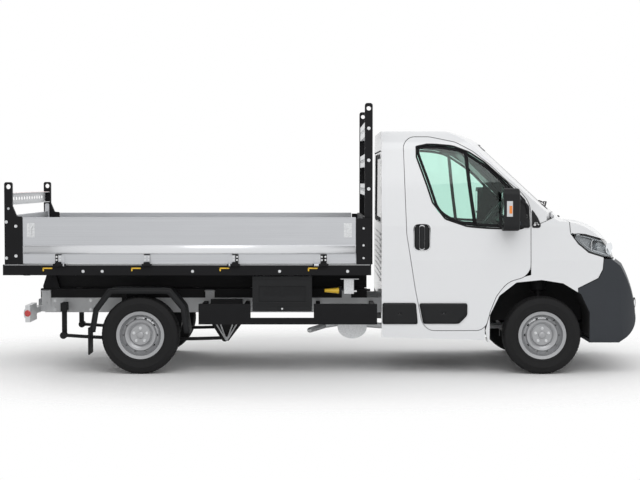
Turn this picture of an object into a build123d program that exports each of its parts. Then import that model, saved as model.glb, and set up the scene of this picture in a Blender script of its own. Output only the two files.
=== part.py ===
from build123d import *
from math import radians, tan
import os

os.makedirs("parts", exist_ok=True)

# Driving dimensions. X runs forward, Y to the left, Z up from the ground.
wheelbase = 3800
front_overhang = 1000
rear_overhang = 1285
front_axle_x = (wheelbase + rear_overhang - front_overhang) / 2
rear_axle_x = front_axle_x - wheelbase
front_track = 1810
rear_track = 1790
fit = 0.3
shut_gap = 6
rim_depth = 18
rim_lap = 22
lamp_spread = 2.2

# Wheels
tyre_radius = 367
tyre_width = 225
rim_radius = 203
rim_half_width = 88
hub_face = 62
vent_count = 10
vent_circle = 163
disc_radius = 140

# Chassis frame
rail_offset = 430
rail_depth = 143
rail_top = 680
rail_flange = 60
rail_wall = 6
rail_front = 880
rail_back = -1000
rail_low = rail_top - rail_depth

# Cab
cab_half_width = 1025
cab_back = -1518
skin_wall = 50
panel_wall = 30
glass_wall = 5
plan_radius = 3850
nose_corner = 430
bonnet_seam = 800
cab_floor = 730

# Load bed
bed_front = -1758
bed_back = -1100
bed_half_width = 1018
board_thickness = 28
board_bottom = 1052
board_height = 432
rave_depth = 100
hinge_x = -940
hinge_z = 880

# Tipping ram
ram_x = 260
ram_z = 380
ram_closed = 560
ram_radius = 76


def fx(distance):
    """A station measured forward of the front axle."""
    return front_axle_x + distance


def rx(distance):
    """A station measured forward of the rear axle."""
    return rear_axle_x + distance


def save(piece, name):
    """Label a finished piece and write its file."""
    piece.part.label = name
    export_step(piece.part, f"parts/{name}.step")


def corner_radii(points, largest):
    """A radius for each corner of a closed outline, as large as its two runs allow."""
    radii = []
    for i, point in enumerate(points):
        before = Vector(*point) - Vector(*points[i - 1])
        after = Vector(*points[(i + 1) % len(points)]) - Vector(*point)
        turn = radians(before.get_angle(after))
        radii.append(min(largest, 0.45 * min(before.length, after.length) / tan(turn / 2)))
    return radii


def shape(points, corner=0):
    """A closed outline through the points, with its corners rounded."""
    with BuildLine() as edge:
        if corner:
            FilletPolyline(*points, radius=corner_radii(points, corner), close=True)
        else:
            Polyline(*points, close=True)
    make_face(edge.edges())


def slab(x0, x1, y0, y1, z0, z1, mode=Mode.ADD):
    """A block between two corners."""
    with Locations(((x0 + x1) / 2, (y0 + y1) / 2, (z0 + z1) / 2)):
        Box(abs(x1 - x0), abs(y1 - y0), abs(z1 - z0), mode=mode)


# Outer form of the cab and nose, set inwards by a wall
cab_half_sketch = 1100
nose_half = 1040
form_low = 300
turn_x = fx(front_overhang - plan_radius)
roof_back = (fx(cab_back), 2310)
roof_front = (fx(-1000), 2321)
screen_top = (fx(-503), 2182)
screen_foot = (fx(205), 1526)
bonnet_back = (fx(319), 1445)
bonnet_tip = (fx(789), 1090)
bumper_top = (fx(868), 1030)
bumper_nose = (fx(front_overhang), 560)
bumper_lip = (fx(900), 330)
section_half = ((996, 240), (1014, 460), (cab_half_width, 1080), (1008, 1400), (912, 2180), (800, 2300))
section_corner = 200


def section_outline():
    """Both halves of the cab's cross section."""
    return list(section_half) + [(-y, z) for y, z in reversed(section_half)]


def cab_form(inset):
    """The closed body of the cab and nose, every face set in by the same wall."""
    with BuildPart() as form:
        with BuildSketch(Plane.XZ):
            with BuildLine():
                Line((turn_x, form_low), (turn_x, roof_back[1]))
                Line((turn_x, roof_back[1]), roof_back)
                Line(roof_back, roof_front)
                ThreePointArc(roof_front, (fx(-740), 2290), screen_top)
                Line(screen_top, screen_foot)
                ThreePointArc(screen_foot, (fx(255), 1482), bonnet_back)
                ThreePointArc(bonnet_back, (fx(640), 1328), bonnet_tip)
                Line(bonnet_tip, bumper_top)
                ThreePointArc(bumper_top, (fx(968), 770), bumper_nose)
                ThreePointArc(bumper_nose, (fx(972), 400), bumper_lip)
                Line(bumper_lip, (fx(860), form_low))
                Line((fx(860), form_low), (turn_x, form_low))
            make_face()
            if inset:
                offset(amount=-inset)
        revolve(axis=Axis((turn_x, 0, 0), (0, 0, 1)))
        with BuildSketch(Plane.YZ.offset(fx(cab_back) + inset)):
            shape(section_outline(), section_corner)
            if inset:
                offset(amount=-inset)
        extrude(amount=3000, mode=Mode.INTERSECT)
        with BuildSketch(Plane.XY):
            shape(((fx(cab_back - 700), cab_half_sketch), (fx(1010), nose_half),
                   (fx(1010), -nose_half), (fx(cab_back - 700), -cab_half_sketch)), nose_corner)
            if inset:
                offset(amount=-inset)
        extrude(amount=3000, mode=Mode.INTERSECT)
    return form.part


def side_core(inset):
    """What lies inside the cab's sides, straight through from back to front."""
    with BuildPart() as core:
        with BuildSketch(Plane.YZ.offset(fx(cab_back))):
            shape(section_outline(), section_corner)
            offset(amount=-inset)
        extrude(amount=3000)
    return core.part


outer_form = cab_form(0)
wing_back = cab_form(panel_wall + 1)
seal_form = cab_form(skin_wall + fit)
rim_form = cab_form(skin_wall + rim_depth)
lamp_back = cab_form(90)
skin_form = cab_form(skin_wall)
panel_form = cab_form(panel_wall)
glass_out = cab_form(12)
glass_in = cab_form(12 + glass_wall)
door_core = side_core(skin_wall)
seal_core = side_core(skin_wall + fit)

# Side outlines, ahead of the front axle and above the ground
door_outline = (
    (-1313, 2241), (-1066, 2241), (-822, 2190), (-662, 2104), (-497, 1976), (-335, 1821), (-206, 1715),
    (-148, 1643), (-118, 1560), (-118, 939), (-335, 876), (-440, 744), (-497, 599), (-545, 418), (-1066, 418),
    (-1136, 487), (-1200, 810), (-1281, 1327),
)
window_outline = (
    (-1160, 2165), (-934, 2160), (-756, 2128), (-497, 1958), (-238, 1700), (-152, 1610),
    (-148, 1380), (-596, 1393), (-822, 1424), (-1000, 1530), (-1092, 1813), (-1205, 2120),
)
wing_outline = (
    (-112, 940), (-112, 1416), (-20, 1424), (212, 1527), (243, 1470), (253, 1331), (329, 1230), (426, 1149),
    (568, 1104), (559, 995), (518, 913), (329, 818), (329, 300), (-513, 300), (-539, 418), (-490, 600),
    (-434, 748), (-330, 882),
)
lamp_outline = ((256, 1329), (391, 1320), (631, 1253), (774, 1094), (568, 1109), (429, 1152), (332, 1232))
arch_outline = ((-500, 200), (-500, 560), (-410, 745), (-250, 870), (-13, 894), (190, 862), (360, 760), (442, 590), (446, 200))


def at_front(points):
    """Points measured from the front axle, in the part's frame."""
    return [(fx(x), z) for x, z in points]


def side_prism(points, side, corner=0, inner=520, grow=0.0, mode=Mode.INTERSECT):
    """Keep or cut what lies behind a side outline on one side of the cab."""
    with BuildSketch(Plane.XZ.offset(-side * inner)) as zone:
        shape(at_front(points), corner)
        if grow:
            offset(amount=grow)
    extrude(zone.sketch, amount=-side * 800, mode=mode)


door_corner = 220
window_corner = 160
handle_middle = (fx(-1140), 1293)
handle_pocket = (146, 238)
handle_grip = (50, 236)
handle_back = 998
door_relief = (fx(-1320), fx(-1284), 700, 868, 2120, 2250)

# Bonnet hinges: a knuckle and pin on the shell beside a knuckle on the bonnet
hinge_line = (fx(108), 1520)
knuckle_y = (738, 760, 782)
knuckle_radius = 6
knuckle_pin = 2.5
knuckle_room = 2
hinge_relief_y = (716, 745)
hinge_relief = 15


def hinge_peg(side, y0, y1, radius, mode=Mode.ADD):
    """A round length along the bonnet's hinge line."""
    with BuildSketch(Plane.XZ.offset(-side * y0)) as disc:
        with Locations(hinge_line):
            Circle(radius)
    extrude(disc.sketch, amount=-side * (y1 - y0), mode=mode)


# Cab shell: roof, pillars, rear wall, floor, sills and bulkhead
shell_outline = (
    (cab_back, 352), (-545, 326), (-545, 600), (-470, 760), (-350, 930), (-200, 975), (-60, 1000), (60, 1200),
    (120, 1440), (300, 1600), (300, 2500), (cab_back, 2500),
)
cabin_outline = (
    (cab_back + skin_wall, cab_floor), (-600, cab_floor), (-400, 1000), (-120, 1060), (-10, 1200), (70, 1400),
    (90, 2600), (cab_back + skin_wall, 2600),
)
screen_half = ((835, 1548), (655, 2175))
rear_window_half = ((760, 1420), (640, 2090))
with BuildPart() as cab_shell:
    add(outer_form)
    with BuildSketch(Plane.XZ.offset(-1200)):
        shape(at_front(shell_outline))
    extrude(amount=2400, mode=Mode.INTERSECT)
    with BuildPart(mode=Mode.PRIVATE) as cabin:
        add(rim_form)
        with BuildSketch(Plane.XZ.offset(-1200)):
            shape(at_front(cabin_outline))
        extrude(amount=2400, mode=Mode.INTERSECT)
    add(cabin.part, mode=Mode.SUBTRACT)
    slab(fx(cab_back) - 10, fx(-380), -920, 920, 200, rail_top + fit, mode=Mode.SUBTRACT)
    for side in (-1, 1):
        with BuildPart(mode=Mode.PRIVATE) as door_zone:
            add(outer_form)
            side_prism(door_outline, side, door_corner, grow=shut_gap, inner=700)
            add(seal_form, mode=Mode.SUBTRACT)
            add(seal_core, mode=Mode.SUBTRACT)
        add(door_zone.part, mode=Mode.SUBTRACT)
        side_prism(door_outline, side, door_corner, grow=-rim_lap, inner=700, mode=Mode.SUBTRACT)
        with BuildPart(mode=Mode.PRIVATE) as wing_zone:
            add(outer_form)
            side_prism(wing_outline, side, grow=shut_gap)
            add(wing_back, mode=Mode.SUBTRACT)
        add(wing_zone.part, mode=Mode.SUBTRACT)
        side_prism(arch_outline, side, mode=Mode.SUBTRACT)
    with BuildSketch(Plane.YZ.offset(fx(-700))):
        screen = [screen_half[0], screen_half[1], (-655, 2175), (-835, 1548)]
        shape(screen, 60)
    extrude(amount=1100, mode=Mode.SUBTRACT)
    with BuildSketch(Plane.YZ.offset(fx(cab_back) - 20)):
        shape([rear_window_half[0], rear_window_half[1], (-640, 2090), (-760, 1420)], 60)
    extrude(amount=skin_wall + 40, mode=Mode.SUBTRACT)
    with BuildSketch(Plane.XY.offset(1000)):
        Rectangle(6000, 4000)
        with Locations((fx(1000 - plan_radius), 0)):
            Circle(plan_radius - 800, mode=Mode.SUBTRACT)
    extrude(amount=800, mode=Mode.SUBTRACT)
    for side in (-1, 1):
        hinge_peg(side, hinge_relief_y[0], hinge_relief_y[1], hinge_relief, mode=Mode.SUBTRACT)
        hinge_peg(side, knuckle_y[1], knuckle_y[2] + knuckle_room, knuckle_radius + knuckle_room, mode=Mode.SUBTRACT)
        hinge_peg(side, knuckle_y[0], knuckle_y[1], knuckle_radius)
        hinge_peg(side, knuckle_y[0], knuckle_y[2], knuckle_pin)
save(cab_shell, "cab_shell")

# Doors and their glass: the left one is drawn and the right one mirrored
with BuildPart() as left_door:
    add(outer_form)
    side_prism(door_outline, 1, door_corner, inner=700)
    add(skin_form, mode=Mode.SUBTRACT)
    add(door_core, mode=Mode.SUBTRACT)
    side_prism(window_outline, 1, window_corner, inner=700, mode=Mode.SUBTRACT)
    with BuildSketch(Plane.XZ.offset(-handle_back)):
        with Locations(handle_middle):
            RectangleRounded(*handle_pocket, 45)
    extrude(amount=-100, mode=Mode.SUBTRACT)
    with BuildSketch(Plane.XZ.offset(-handle_back)):
        with Locations(handle_middle):
            RectangleRounded(*handle_grip, 22)
    extrude(amount=-14)
    slab(*door_relief, mode=Mode.SUBTRACT)
with BuildPart() as left_pane:
    add(glass_out)
    side_prism(window_outline, 1, window_corner, inner=700, grow=-fit)
    add(glass_in, mode=Mode.SUBTRACT)
for drawn, kind in ((left_door, "door"), (left_pane, "door_glass")):
    save(drawn, f"{kind}_left")
    with BuildPart() as right_side:
        add(drawn.part.mirror(Plane.XZ))
    save(right_side, f"{kind}_right")

# Wings: the outer panels over the front wheels
with BuildPart() as wings:
    add(outer_form)
    side_prism(wing_outline, 1, inner=bonnet_seam + shut_gap)
    add(panel_form, mode=Mode.SUBTRACT)
    side_prism(door_outline, 1, door_corner, grow=shut_gap, mode=Mode.SUBTRACT)
    side_prism(arch_outline, 1, mode=Mode.SUBTRACT)
    mirror(about=Plane.XZ)
save(wings, "front_wings")

# Headlamps: a lens body set into the corner
with BuildPart() as headlamps:
    add(outer_form)
    side_prism(lamp_outline, 1, corner=30, inner=560, grow=lamp_spread)
    add(lamp_back, mode=Mode.SUBTRACT)
    mirror(about=Plane.XZ)
save(headlamps, "headlamps")

# Bonnet, from the foot of the screen down to the lamps and the grille
bonnet_low = 1098
beside_bonnet = ((-200, 1000), (-200, 1700), (249, 1700), (249, 1470), (259, 1337), (391, 1326), (631, 1259),
                 (774, 1098), (1000, 1098), (1000, 1000))
with BuildPart() as bonnet:
    add(outer_form)
    add(panel_form, mode=Mode.SUBTRACT)
    slab(fx(0), fx(1100), -1100, 1100, bonnet_low, 1700, mode=Mode.INTERSECT)
    with BuildSketch(Plane.XY.offset(900)):
        Rectangle(8000, 4000)
        with Locations((fx(1000 - plan_radius), 0)):
            Circle(plan_radius - 800 + shut_gap, mode=Mode.SUBTRACT)
    extrude(amount=900, mode=Mode.INTERSECT)
    for side in (-1, 1):
        with BuildPart(mode=Mode.PRIVATE) as beside:
            with BuildSketch(Plane.XZ.offset(-side * (bonnet_seam - 1))):
                shape(at_front(beside_bonnet))
            extrude(amount=-side * 400)
        add(beside.part, mode=Mode.SUBTRACT)
    for side in (-1, 1):
        side_prism(lamp_outline, side, corner=30, inner=555, grow=lamp_spread + shut_gap, mode=Mode.SUBTRACT)
    for side in (-1, 1):
        hinge_peg(side, knuckle_y[0] - knuckle_room, knuckle_y[1] + fit, knuckle_radius + knuckle_room, mode=Mode.SUBTRACT)
        hinge_peg(side, knuckle_y[1] + fit, knuckle_y[2], knuckle_radius)
        hinge_peg(side, knuckle_y[1], knuckle_y[2] + knuckle_room, knuckle_pin + fit, mode=Mode.SUBTRACT)
save(bonnet, "bonnet")

# Bumper with its upper and lower slots
bumper_outline = (
    (335, 300), (335, 812), (524, 907), (565, 993), (574, 1098), (1010, 1092), (1010, 290),
)
slots = ((700, 816, 690), (410, 535, 760))
with BuildPart() as front_bumper:
    add(outer_form)
    add(panel_form, mode=Mode.SUBTRACT)
    slab(fx(-200), fx(1100), -1100, 1100, 300, 1092, mode=Mode.INTERSECT)
    with BuildSketch(Plane.XZ.offset(-1200)):
        shape(at_front(bumper_outline))
    extrude(amount=2400, mode=Mode.INTERSECT)
    for side in (-1, 1):
        side_prism(arch_outline, side, mode=Mode.SUBTRACT)
        side_prism(lamp_outline, side, corner=30, inner=559, grow=lamp_spread + fit, mode=Mode.SUBTRACT)
    for low, high, half in slots:
        with BuildSketch(Plane.YZ.offset(fx(700))):
            with Locations((0, (low + high) / 2)):
                RectangleRounded(2 * half, high - low, 30)
        extrude(amount=400, mode=Mode.SUBTRACT)
    for side in (-1, 1):
        slab(fx(rail_front) + fit, fx(front_overhang - 45), side * (rail_offset - rail_flange),
             side * rail_offset, rail_low + 26, rail_top - 10)
save(front_bumper, "front_bumper")

# Grille: slats behind the bumper's slots
with BuildPart() as grille:
    add(cab_form(panel_wall + fit))
    add(cab_form(panel_wall + 14), mode=Mode.SUBTRACT)
    with BuildSketch(Plane.YZ.offset(fx(700))):
        for low, high, half in slots:
            with Locations((0, (low + high) / 2)):
                Rectangle(2 * half + 40, high - low + 40)
                with GridLocations(0, 42, 1, 2):
                    Rectangle(2 * half - 40, 30, mode=Mode.SUBTRACT)
    extrude(amount=400, mode=Mode.INTERSECT)
save(grille, "grille")

# Windscreen and rear window
with BuildPart() as cab_glass:
    with BuildPart(mode=Mode.PRIVATE) as windscreen:
        add(glass_out)
        add(glass_in, mode=Mode.SUBTRACT)
        with BuildSketch(Plane.YZ.offset(fx(-700))):
            shape(screen, 60)
            offset(amount=-fit)
        extrude(amount=1100, mode=Mode.INTERSECT)
    add(windscreen.part)
    with BuildSketch(Plane.YZ.offset(fx(cab_back) + 12)):
        shape([rear_window_half[0], rear_window_half[1], (-640, 2090), (-760, 1420)], 60)
        offset(amount=-fit)
    extrude(amount=glass_wall)
save(cab_glass, "cab_glass")

# Seats: driver on the right, two passengers on the left
seat_rows = ((-590, 480), (150, 480), (640, 480))
seat_back = -1380
with BuildPart() as seats:
    for seat_y, seat_width in seat_rows:
        with BuildSketch(Plane.XZ.offset(-seat_y - seat_width / 2)):
            shape(at_front(((seat_back + 60, cab_floor + fit), (seat_back + 60, 1060), (seat_back - 20, 1130),
                            (seat_back - 70, 1720), (seat_back + 20, 1740), (seat_back + 110, 1180),
                            (seat_back + 580, 1190), (seat_back + 600, 1070), (seat_back + 480, cab_floor + fit))), 30)
        extrude(amount=seat_width)
        slab(fx(seat_back - 65), fx(seat_back + 15), seat_y - 120, seat_y + 120, 1725, 1900)
save(seats, "seats")

# Dashboard with the steering wheel
steering_wheel_y = -590
with BuildPart() as dashboard:
    with BuildSketch(Plane.XZ.offset(-880)):
        shape(at_front(((-25, 1215), (-95, 1085), (-215, 1150), (-330, 1320), (-300, 1440), (-160, 1495), (50, 1460))), 30)
    extrude(amount=1760)
    column = Plane(origin=(fx(-290), steering_wheel_y, 1340), z_dir=(-0.78, 0, 0.62))
    with BuildSketch(column):
        Circle(28)
    extrude(amount=230)
    with BuildSketch(column.offset(200)):
        Circle(195)
        Circle(168, mode=Mode.SUBTRACT)
        Rectangle(350, 44)
        with Locations((0, 0)):
            Circle(62)
    extrude(amount=28)
save(dashboard, "dashboard")

# Door mirrors: a tall housing on a foot that bolts to the door
mirror_seat = 1009.1
mirror_y = 1165
mirror_station = -400
mirror_deep = 150
mirror_high = (1362, 1757)
for side, name in ((-1, "right"), (1, "left")):
    with BuildPart() as mirror_unit:
        with BuildSketch(Plane.YZ.offset(fx(mirror_station))):
            with Locations((side * mirror_y, sum(mirror_high) / 2)):
                RectangleRounded(200, mirror_high[1] - mirror_high[0], 60)
        extrude(amount=mirror_deep)
        fillet(mirror_unit.edges().filter_by(GeomType.CIRCLE).sort_by(Axis.X)[-4:], 20)
        slab(fx(mirror_station + 60), fx(mirror_station + 160), side * mirror_seat, side * mirror_y, 1385, 1440)
    save(mirror_unit, f"mirror_{name}")

# Chassis rails: two channels, open inwards
with BuildPart() as chassis_rails:
    for side in (-1, 1):
        outer = side * rail_offset
        inner = side * (rail_offset - rail_flange)
        slab(rx(rail_back), fx(rail_front), outer, outer - side * rail_wall, rail_low, rail_top)
        slab(rx(rail_back), fx(rail_front), outer, inner, rail_top - rail_wall, rail_top)
        slab(rx(rail_back), fx(rail_front), outer, inner, rail_low, rail_low + rail_wall)
save(chassis_rails, "chassis_rails")

# Crossmembers, fitted between the webs
member_half = rail_offset - rail_wall - fit
member_stations = (rx(rail_back + 40), rx(-350), rx(ram_x + 260), rx(1150), fx(-1750), fx(-950), fx(440), fx(rail_front - 40))
with BuildPart() as crossmembers:
    for station in member_stations:
        slab(station - 30, station + 30, -member_half, member_half, rail_low + rail_wall + fit, rail_top - rail_wall - fit)
save(crossmembers, "crossmembers")

# Fixed tipper subframe on the rails, with hinge ears and ram brackets
sub_height = 90
sub_width = 70
sub_top = rail_top + sub_height
pin_radius = 18
ear_half = 20
ear_y = rail_offset - 30
with BuildPart() as tipper_subframe:
    for side in (-1, 1):
        slab(rx(-1040), fx(-1640), side * rail_offset, side * (rail_offset - sub_width), rail_top + fit, sub_top)
        with BuildSketch(Plane.XZ.offset(-side * ear_y + ear_half)):
            shape(((rx(hinge_x - 90), sub_top - 10), (rx(hinge_x - 40), hinge_z + 38), (rx(hinge_x + 40), hinge_z + 38),
                   (rx(hinge_x + 90), sub_top - 10)), 30)
        extrude(amount=-2 * ear_half)
        with BuildSketch(Plane.XZ.offset(-side * (rail_offset - sub_width))):
            shape(((rx(ram_x - 130), sub_top), (rx(ram_x + 130), sub_top), (rx(ram_x + 60), ram_z - 50),
                   (rx(ram_x - 60), ram_z - 50)))
        extrude(amount=side * 14)
    for station in (rx(-700), rx(-100), rx(ram_x - 250), rx(ram_x + 200), rx(1000), fx(-1700)):
        slab(station - 30, station + 30, -(rail_offset - sub_width), rail_offset - sub_width, rail_top + 10, sub_top - 10)
    with BuildSketch(Plane.XZ.offset(-(rail_offset - sub_width))):
        with Locations((rx(ram_x), ram_z)):
            Circle(pin_radius)
    extrude(amount=2 * (rail_offset - sub_width))
    with BuildSketch(Plane.XZ.offset(-(rail_offset))):
        with Locations((rx(hinge_x), hinge_z)):
            Circle(pin_radius + fit)
    extrude(amount=2 * rail_offset, mode=Mode.SUBTRACT)
save(tipper_subframe, "tipper_subframe")

# Wheels: a steel rim and a tyre each
wheel_table = (
    # name, station, distance from the middle, side
    ("front_left", fx(0), front_track / 2, 1),
    ("front_right", fx(0), front_track / 2, -1),
    ("rear_left", rx(0), rear_track / 2, 1),
    ("rear_right", rx(0), rear_track / 2, -1),
)
bead = rim_half_width - 12
rim_section = (
    # radius, outboard of the wheel's middle
    (226, rim_half_width), (226, bead + 6), (rim_radius, bead), (rim_radius, 50), (176, 28), (176, -30),
    (rim_radius, -52), (rim_radius, -bead), (226, -bead - 6), (226, -rim_half_width), (196, -bead - 6),
    (196, -54), (168, -32), (168, 22), (150, 56), (disc_radius, 66), (128, 62), (104, 48), (88, hub_face),
    (34, hub_face), (34, hub_face + 7), (92, hub_face + 7), (106, 56), (126, 70), (disc_radius + 4, 74),
    (158, 60), (190, 44), (196, 58), (196, bead + 6),
)
tyre_half = tyre_width / 2
tyre_section = (
    (rim_radius + fit, bead - 1), (227, bead + 5), (229, bead + 15),
    (300, tyre_half), (330, tyre_half - 4), (352, tyre_half - 14), (tyre_radius, tyre_half - 38),
    (tyre_radius, 38 - tyre_half), (352, 14 - tyre_half), (330, 4 - tyre_half), (300, -tyre_half),
    (229, -bead - 15), (227, -bead - 5), (rim_radius + fit, 1 - bead),
)


def wheel_ring(section, station, centre_y, side):
    """Turn a section of radius and outboard distance round a wheel's axle line."""
    with BuildPart() as ring:
        with BuildSketch(Plane.XY.offset(tyre_radius)) as half:
            shape([(station + r, centre_y + side * out) for r, out in section])
        revolve(half.sketch, axis=Axis((station, centre_y, tyre_radius), (0, 1, 0)))
    return ring.part


for name, station, distance, side in wheel_table:
    centre_y = side * distance
    with BuildPart() as rim:
        add(wheel_ring(rim_section, station, centre_y, side))
        face_plane = Plane(origin=(station, centre_y, tyre_radius), x_dir=(1, 0, 0), z_dir=(0, side, 0))
        with BuildSketch(face_plane.offset(30)):
            with PolarLocations(vent_circle, vent_count):
                SlotOverall(25, 16, rotation=90)
        extrude(amount=60, mode=Mode.SUBTRACT)
    save(rim, f"rim_{name}")
    with BuildPart() as tyre:
        add(wheel_ring(tyre_section, station, centre_y, side))
    save(tyre, f"tyre_{name}")

# Steered knuckles with hub and disc, turning on an inclined line as the struts do
kingpin_foot = (800, 230)
kingpin_head = (640, 990)
lean = (kingpin_foot[0] - kingpin_head[0]) / (kingpin_head[1] - kingpin_foot[1])


def kingpin_plane(side, height):
    """A plane square to the steering line, at a height on it."""
    y = kingpin_foot[0] - lean * (height - kingpin_foot[1])
    return Plane(origin=(fx(0), side * y, height), x_dir=(1, 0, 0), z_dir=(0, -side * lean, 1))


strut_seat = 560
upright_length = 306
for side, name in ((-1, "right"), (1, "left")):
    hub_y = side * (front_track / 2 + hub_face - fit)
    with BuildPart() as knuckle:
        hub_plane = Plane(origin=(fx(0), hub_y, tyre_radius), x_dir=(1, 0, 0), z_dir=(0, -side, 0))
        with BuildSketch(hub_plane):
            Circle(80)
        extrude(amount=14)
        with BuildSketch(hub_plane.offset(14)):
            Circle(138)
        extrude(amount=26)
        with BuildSketch(hub_plane.offset(40)):
            Circle(52)
        extrude(amount=150)
        with BuildSketch(kingpin_plane(side, strut_seat)):
            Circle(30)
        extrude(amount=-upright_length)
        with BuildSketch(Plane.XZ.offset(-side * 745)):
            shape(((fx(-40), 285), (fx(40), 285), (fx(45), 500), (fx(-45), 500)))
        extrude(amount=-side * 40)
    save(knuckle, f"knuckle_{name}")

# Front suspension: subframe, lower arms and struts
with BuildPart() as front_suspension:
    for station in (-210, 190):
        slab(fx(station - 40), fx(station + 40), -400, 400, 300, 380)
    for side in (-1, 1):
        slab(fx(-210), fx(190), side * 330, side * 400, 300, 380)
        with BuildSketch(Plane.XY.offset(205)):
            shape(((fx(-250), side * 400), (fx(-170), side * 400), (fx(-20), side * 770), (fx(30), side * 815),
                   (fx(60), side * 770), (fx(200), side * 400), (fx(130), side * 380), (fx(-150), side * 380)), 30)
        extrude(amount=34)
        slab(fx(-240), fx(-180), side * 340, side * 398, 220, 310)
        slab(fx(140), fx(190), side * 340, side * 398, 220, 310)
        with BuildSketch(kingpin_plane(side, strut_seat).offset(-upright_length - fit)):
            Circle(18)
        extrude(amount=-34)
        with BuildSketch(kingpin_plane(side, strut_seat).offset(fit)):
            Circle(24)
        extrude(amount=380)
        slab(fx(-250), fx(-190), side * 360, side * 400, 379, rail_low - fit)
        slab(fx(170), fx(230), side * 360, side * 400, 379, rail_low - fit)
        slab(fx(-90), fx(90), side * (rail_offset + fit), side * 446, 580, 960)
        slab(fx(-90), fx(90), side * 440, side * 730, 936, 960)
        with BuildSketch(kingpin_plane(side, 770)):
            Circle(68)
        extrude(amount=150)
        with BuildSketch(kingpin_plane(side, 915)):
            Circle(80)
        extrude(amount=20)
save(front_suspension, "front_suspension")

# Engine and gearbox, closed in, as one block
with BuildPart() as engine:
    slab(fx(-40), fx(400), -360, 360, 440, 950)
    slab(fx(-40), fx(150), -200, 200, 380 + fit, 440)
save(engine, "engine")

# Rear axle beam with hub flanges
axle_radius = 42
spring_y = 560
spring_wide = 70
hub_length = rear_track / 2 + hub_face - fit
with BuildPart() as rear_axle:
    with BuildSketch(Plane.XZ.offset(-hub_length)):
        with Locations((rx(0), tyre_radius)):
            Circle(axle_radius)
    extrude(amount=2 * hub_length)
    for side in (-1, 1):
        with BuildSketch(Plane.XZ.offset(-side * hub_length)):
            with Locations((rx(0), tyre_radius)):
                Circle(80)
        extrude(amount=side * 14)
        with BuildSketch(Plane.XZ.offset(-side * (hub_length - 14))):
            with Locations((rx(0), tyre_radius)):
                Circle(135)
        extrude(amount=side * 50)
        slab(rx(-60), rx(60), side * (spring_y - 45), side * (spring_y + 45), 304, 340)
save(rear_axle, "rear_axle")

# Leaf springs with their hangers and shackles
eye_front = (776, 300)
eye_back = (-794, 325)
leaf = 26
with BuildPart() as leaf_springs:
    for side in (-1, 1):
        with BuildSketch(Plane.XZ.offset(-side * (spring_y - spring_wide / 2))):
            with BuildLine() as top_line:
                ThreePointArc((rx(eye_front[0]), eye_front[1]), (rx(0), 303 - fit - leaf / 2),
                              (rx(eye_back[0]), eye_back[1]))
                offset(amount=leaf / 2)
            make_face()
            with Locations((rx(eye_front[0]), eye_front[1]), (rx(eye_back[0]), eye_back[1])):
                Circle(34)
        extrude(amount=-side * spring_wide)
        slab(rx(-260), rx(240), side * (spring_y - 30), side * (spring_y + 30), 262, 275)
        with BuildSketch(Plane.XZ.offset(-side * (rail_offset + fit))):
            shape(((rx(eye_front[0] - 145), 670), (rx(eye_front[0] + 166), 670), (rx(eye_front[0] + 166), 440),
                   (rx(eye_front[0] + 30), 262), (rx(eye_front[0] - 30), 262), (rx(eye_front[0] - 145), 440)))
        extrude(amount=-side * 60)
        slab(rx(eye_front[0] - 30), rx(eye_front[0] + 30), side * (rail_offset + fit), side * 600, 290, 310)
        slab(rx(eye_back[0] - 25), rx(eye_back[0] + 25), side * (rail_offset + fit), side * 600, 560, 640)
        slab(rx(eye_back[0] - 25), rx(eye_back[0] + 25), side * 515, side * 524, 310, 600)
save(leaf_springs, "leaf_springs")

# Fuel tank, silencer, toolbox, guards and lamps hung on the frame
with BuildPart() as fuel_tank:
    slab(fx(-1440), fx(-640), -360, 300, 330, rail_low + rail_wall)
    fillet(fuel_tank.edges().filter_by(Axis.X), 40)
save(fuel_tank, "fuel_tank")

silencer_middle = (fx(-1790), 420)
silencer_half = (140, 111)
with BuildPart() as silencer:
    with BuildSketch(Plane.XZ.offset(150)):
        with Locations(silencer_middle):
            Ellipse(silencer_half[0], silencer_half[1])
    extrude(amount=560)
    slab(silencer_middle[0] - 20, silencer_middle[0] + 20, -400, -360, silencer_middle[1], rail_low - fit)
save(silencer, "silencer")

toolbox_x = (-2738, -2177)
toolbox_z = (595, 925)
toolbox_y = (560, 985)
with BuildPart() as toolbox:
    slab(fx(toolbox_x[0]), fx(toolbox_x[1]), -toolbox_y[1], -toolbox_y[0], toolbox_z[0], toolbox_z[1])
    slab(fx(toolbox_x[0] + 60), fx(toolbox_x[1] - 60), -toolbox_y[1], -toolbox_y[1] + 12,
         toolbox_z[0] + 90, toolbox_z[1] - 90, mode=Mode.SUBTRACT)
    slab(fx(-2560), fx(-2500), -toolbox_y[0], -rail_offset - fit, 600, 660)
    slab(fx(-2400), fx(-2340), -toolbox_y[0], -rail_offset - fit, 600, 660)
save(toolbox, "toolbox")

guard_y = (960, 985)
guard_x = (rx(552), fx(-1560))
guard_z = (470, 665)
guard_arms = (rx(567), rx(975), fx(-2140), fx(-1620))
notch_room = 18
notch_low = 532
with BuildPart() as side_guards:
    for side in (-1, 1):
        slab(guard_x[0], guard_x[1], side * guard_y[0], side * guard_y[1], guard_z[0], guard_z[1])
        for station in guard_arms:
            slab(station, station + 40, side * guard_y[0], side * (guard_y[0] - 25), guard_z[0], guard_z[1])
            slab(station, station + 40, side * (guard_y[0] - 25), side * (rail_offset + fit), 610, 650)
    slab(fx(toolbox_x[0] - notch_room), fx(toolbox_x[1] + notch_room), -guard_y[0], -guard_y[1], notch_low, 700,
         mode=Mode.SUBTRACT)
save(side_guards, "side_guards")

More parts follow.
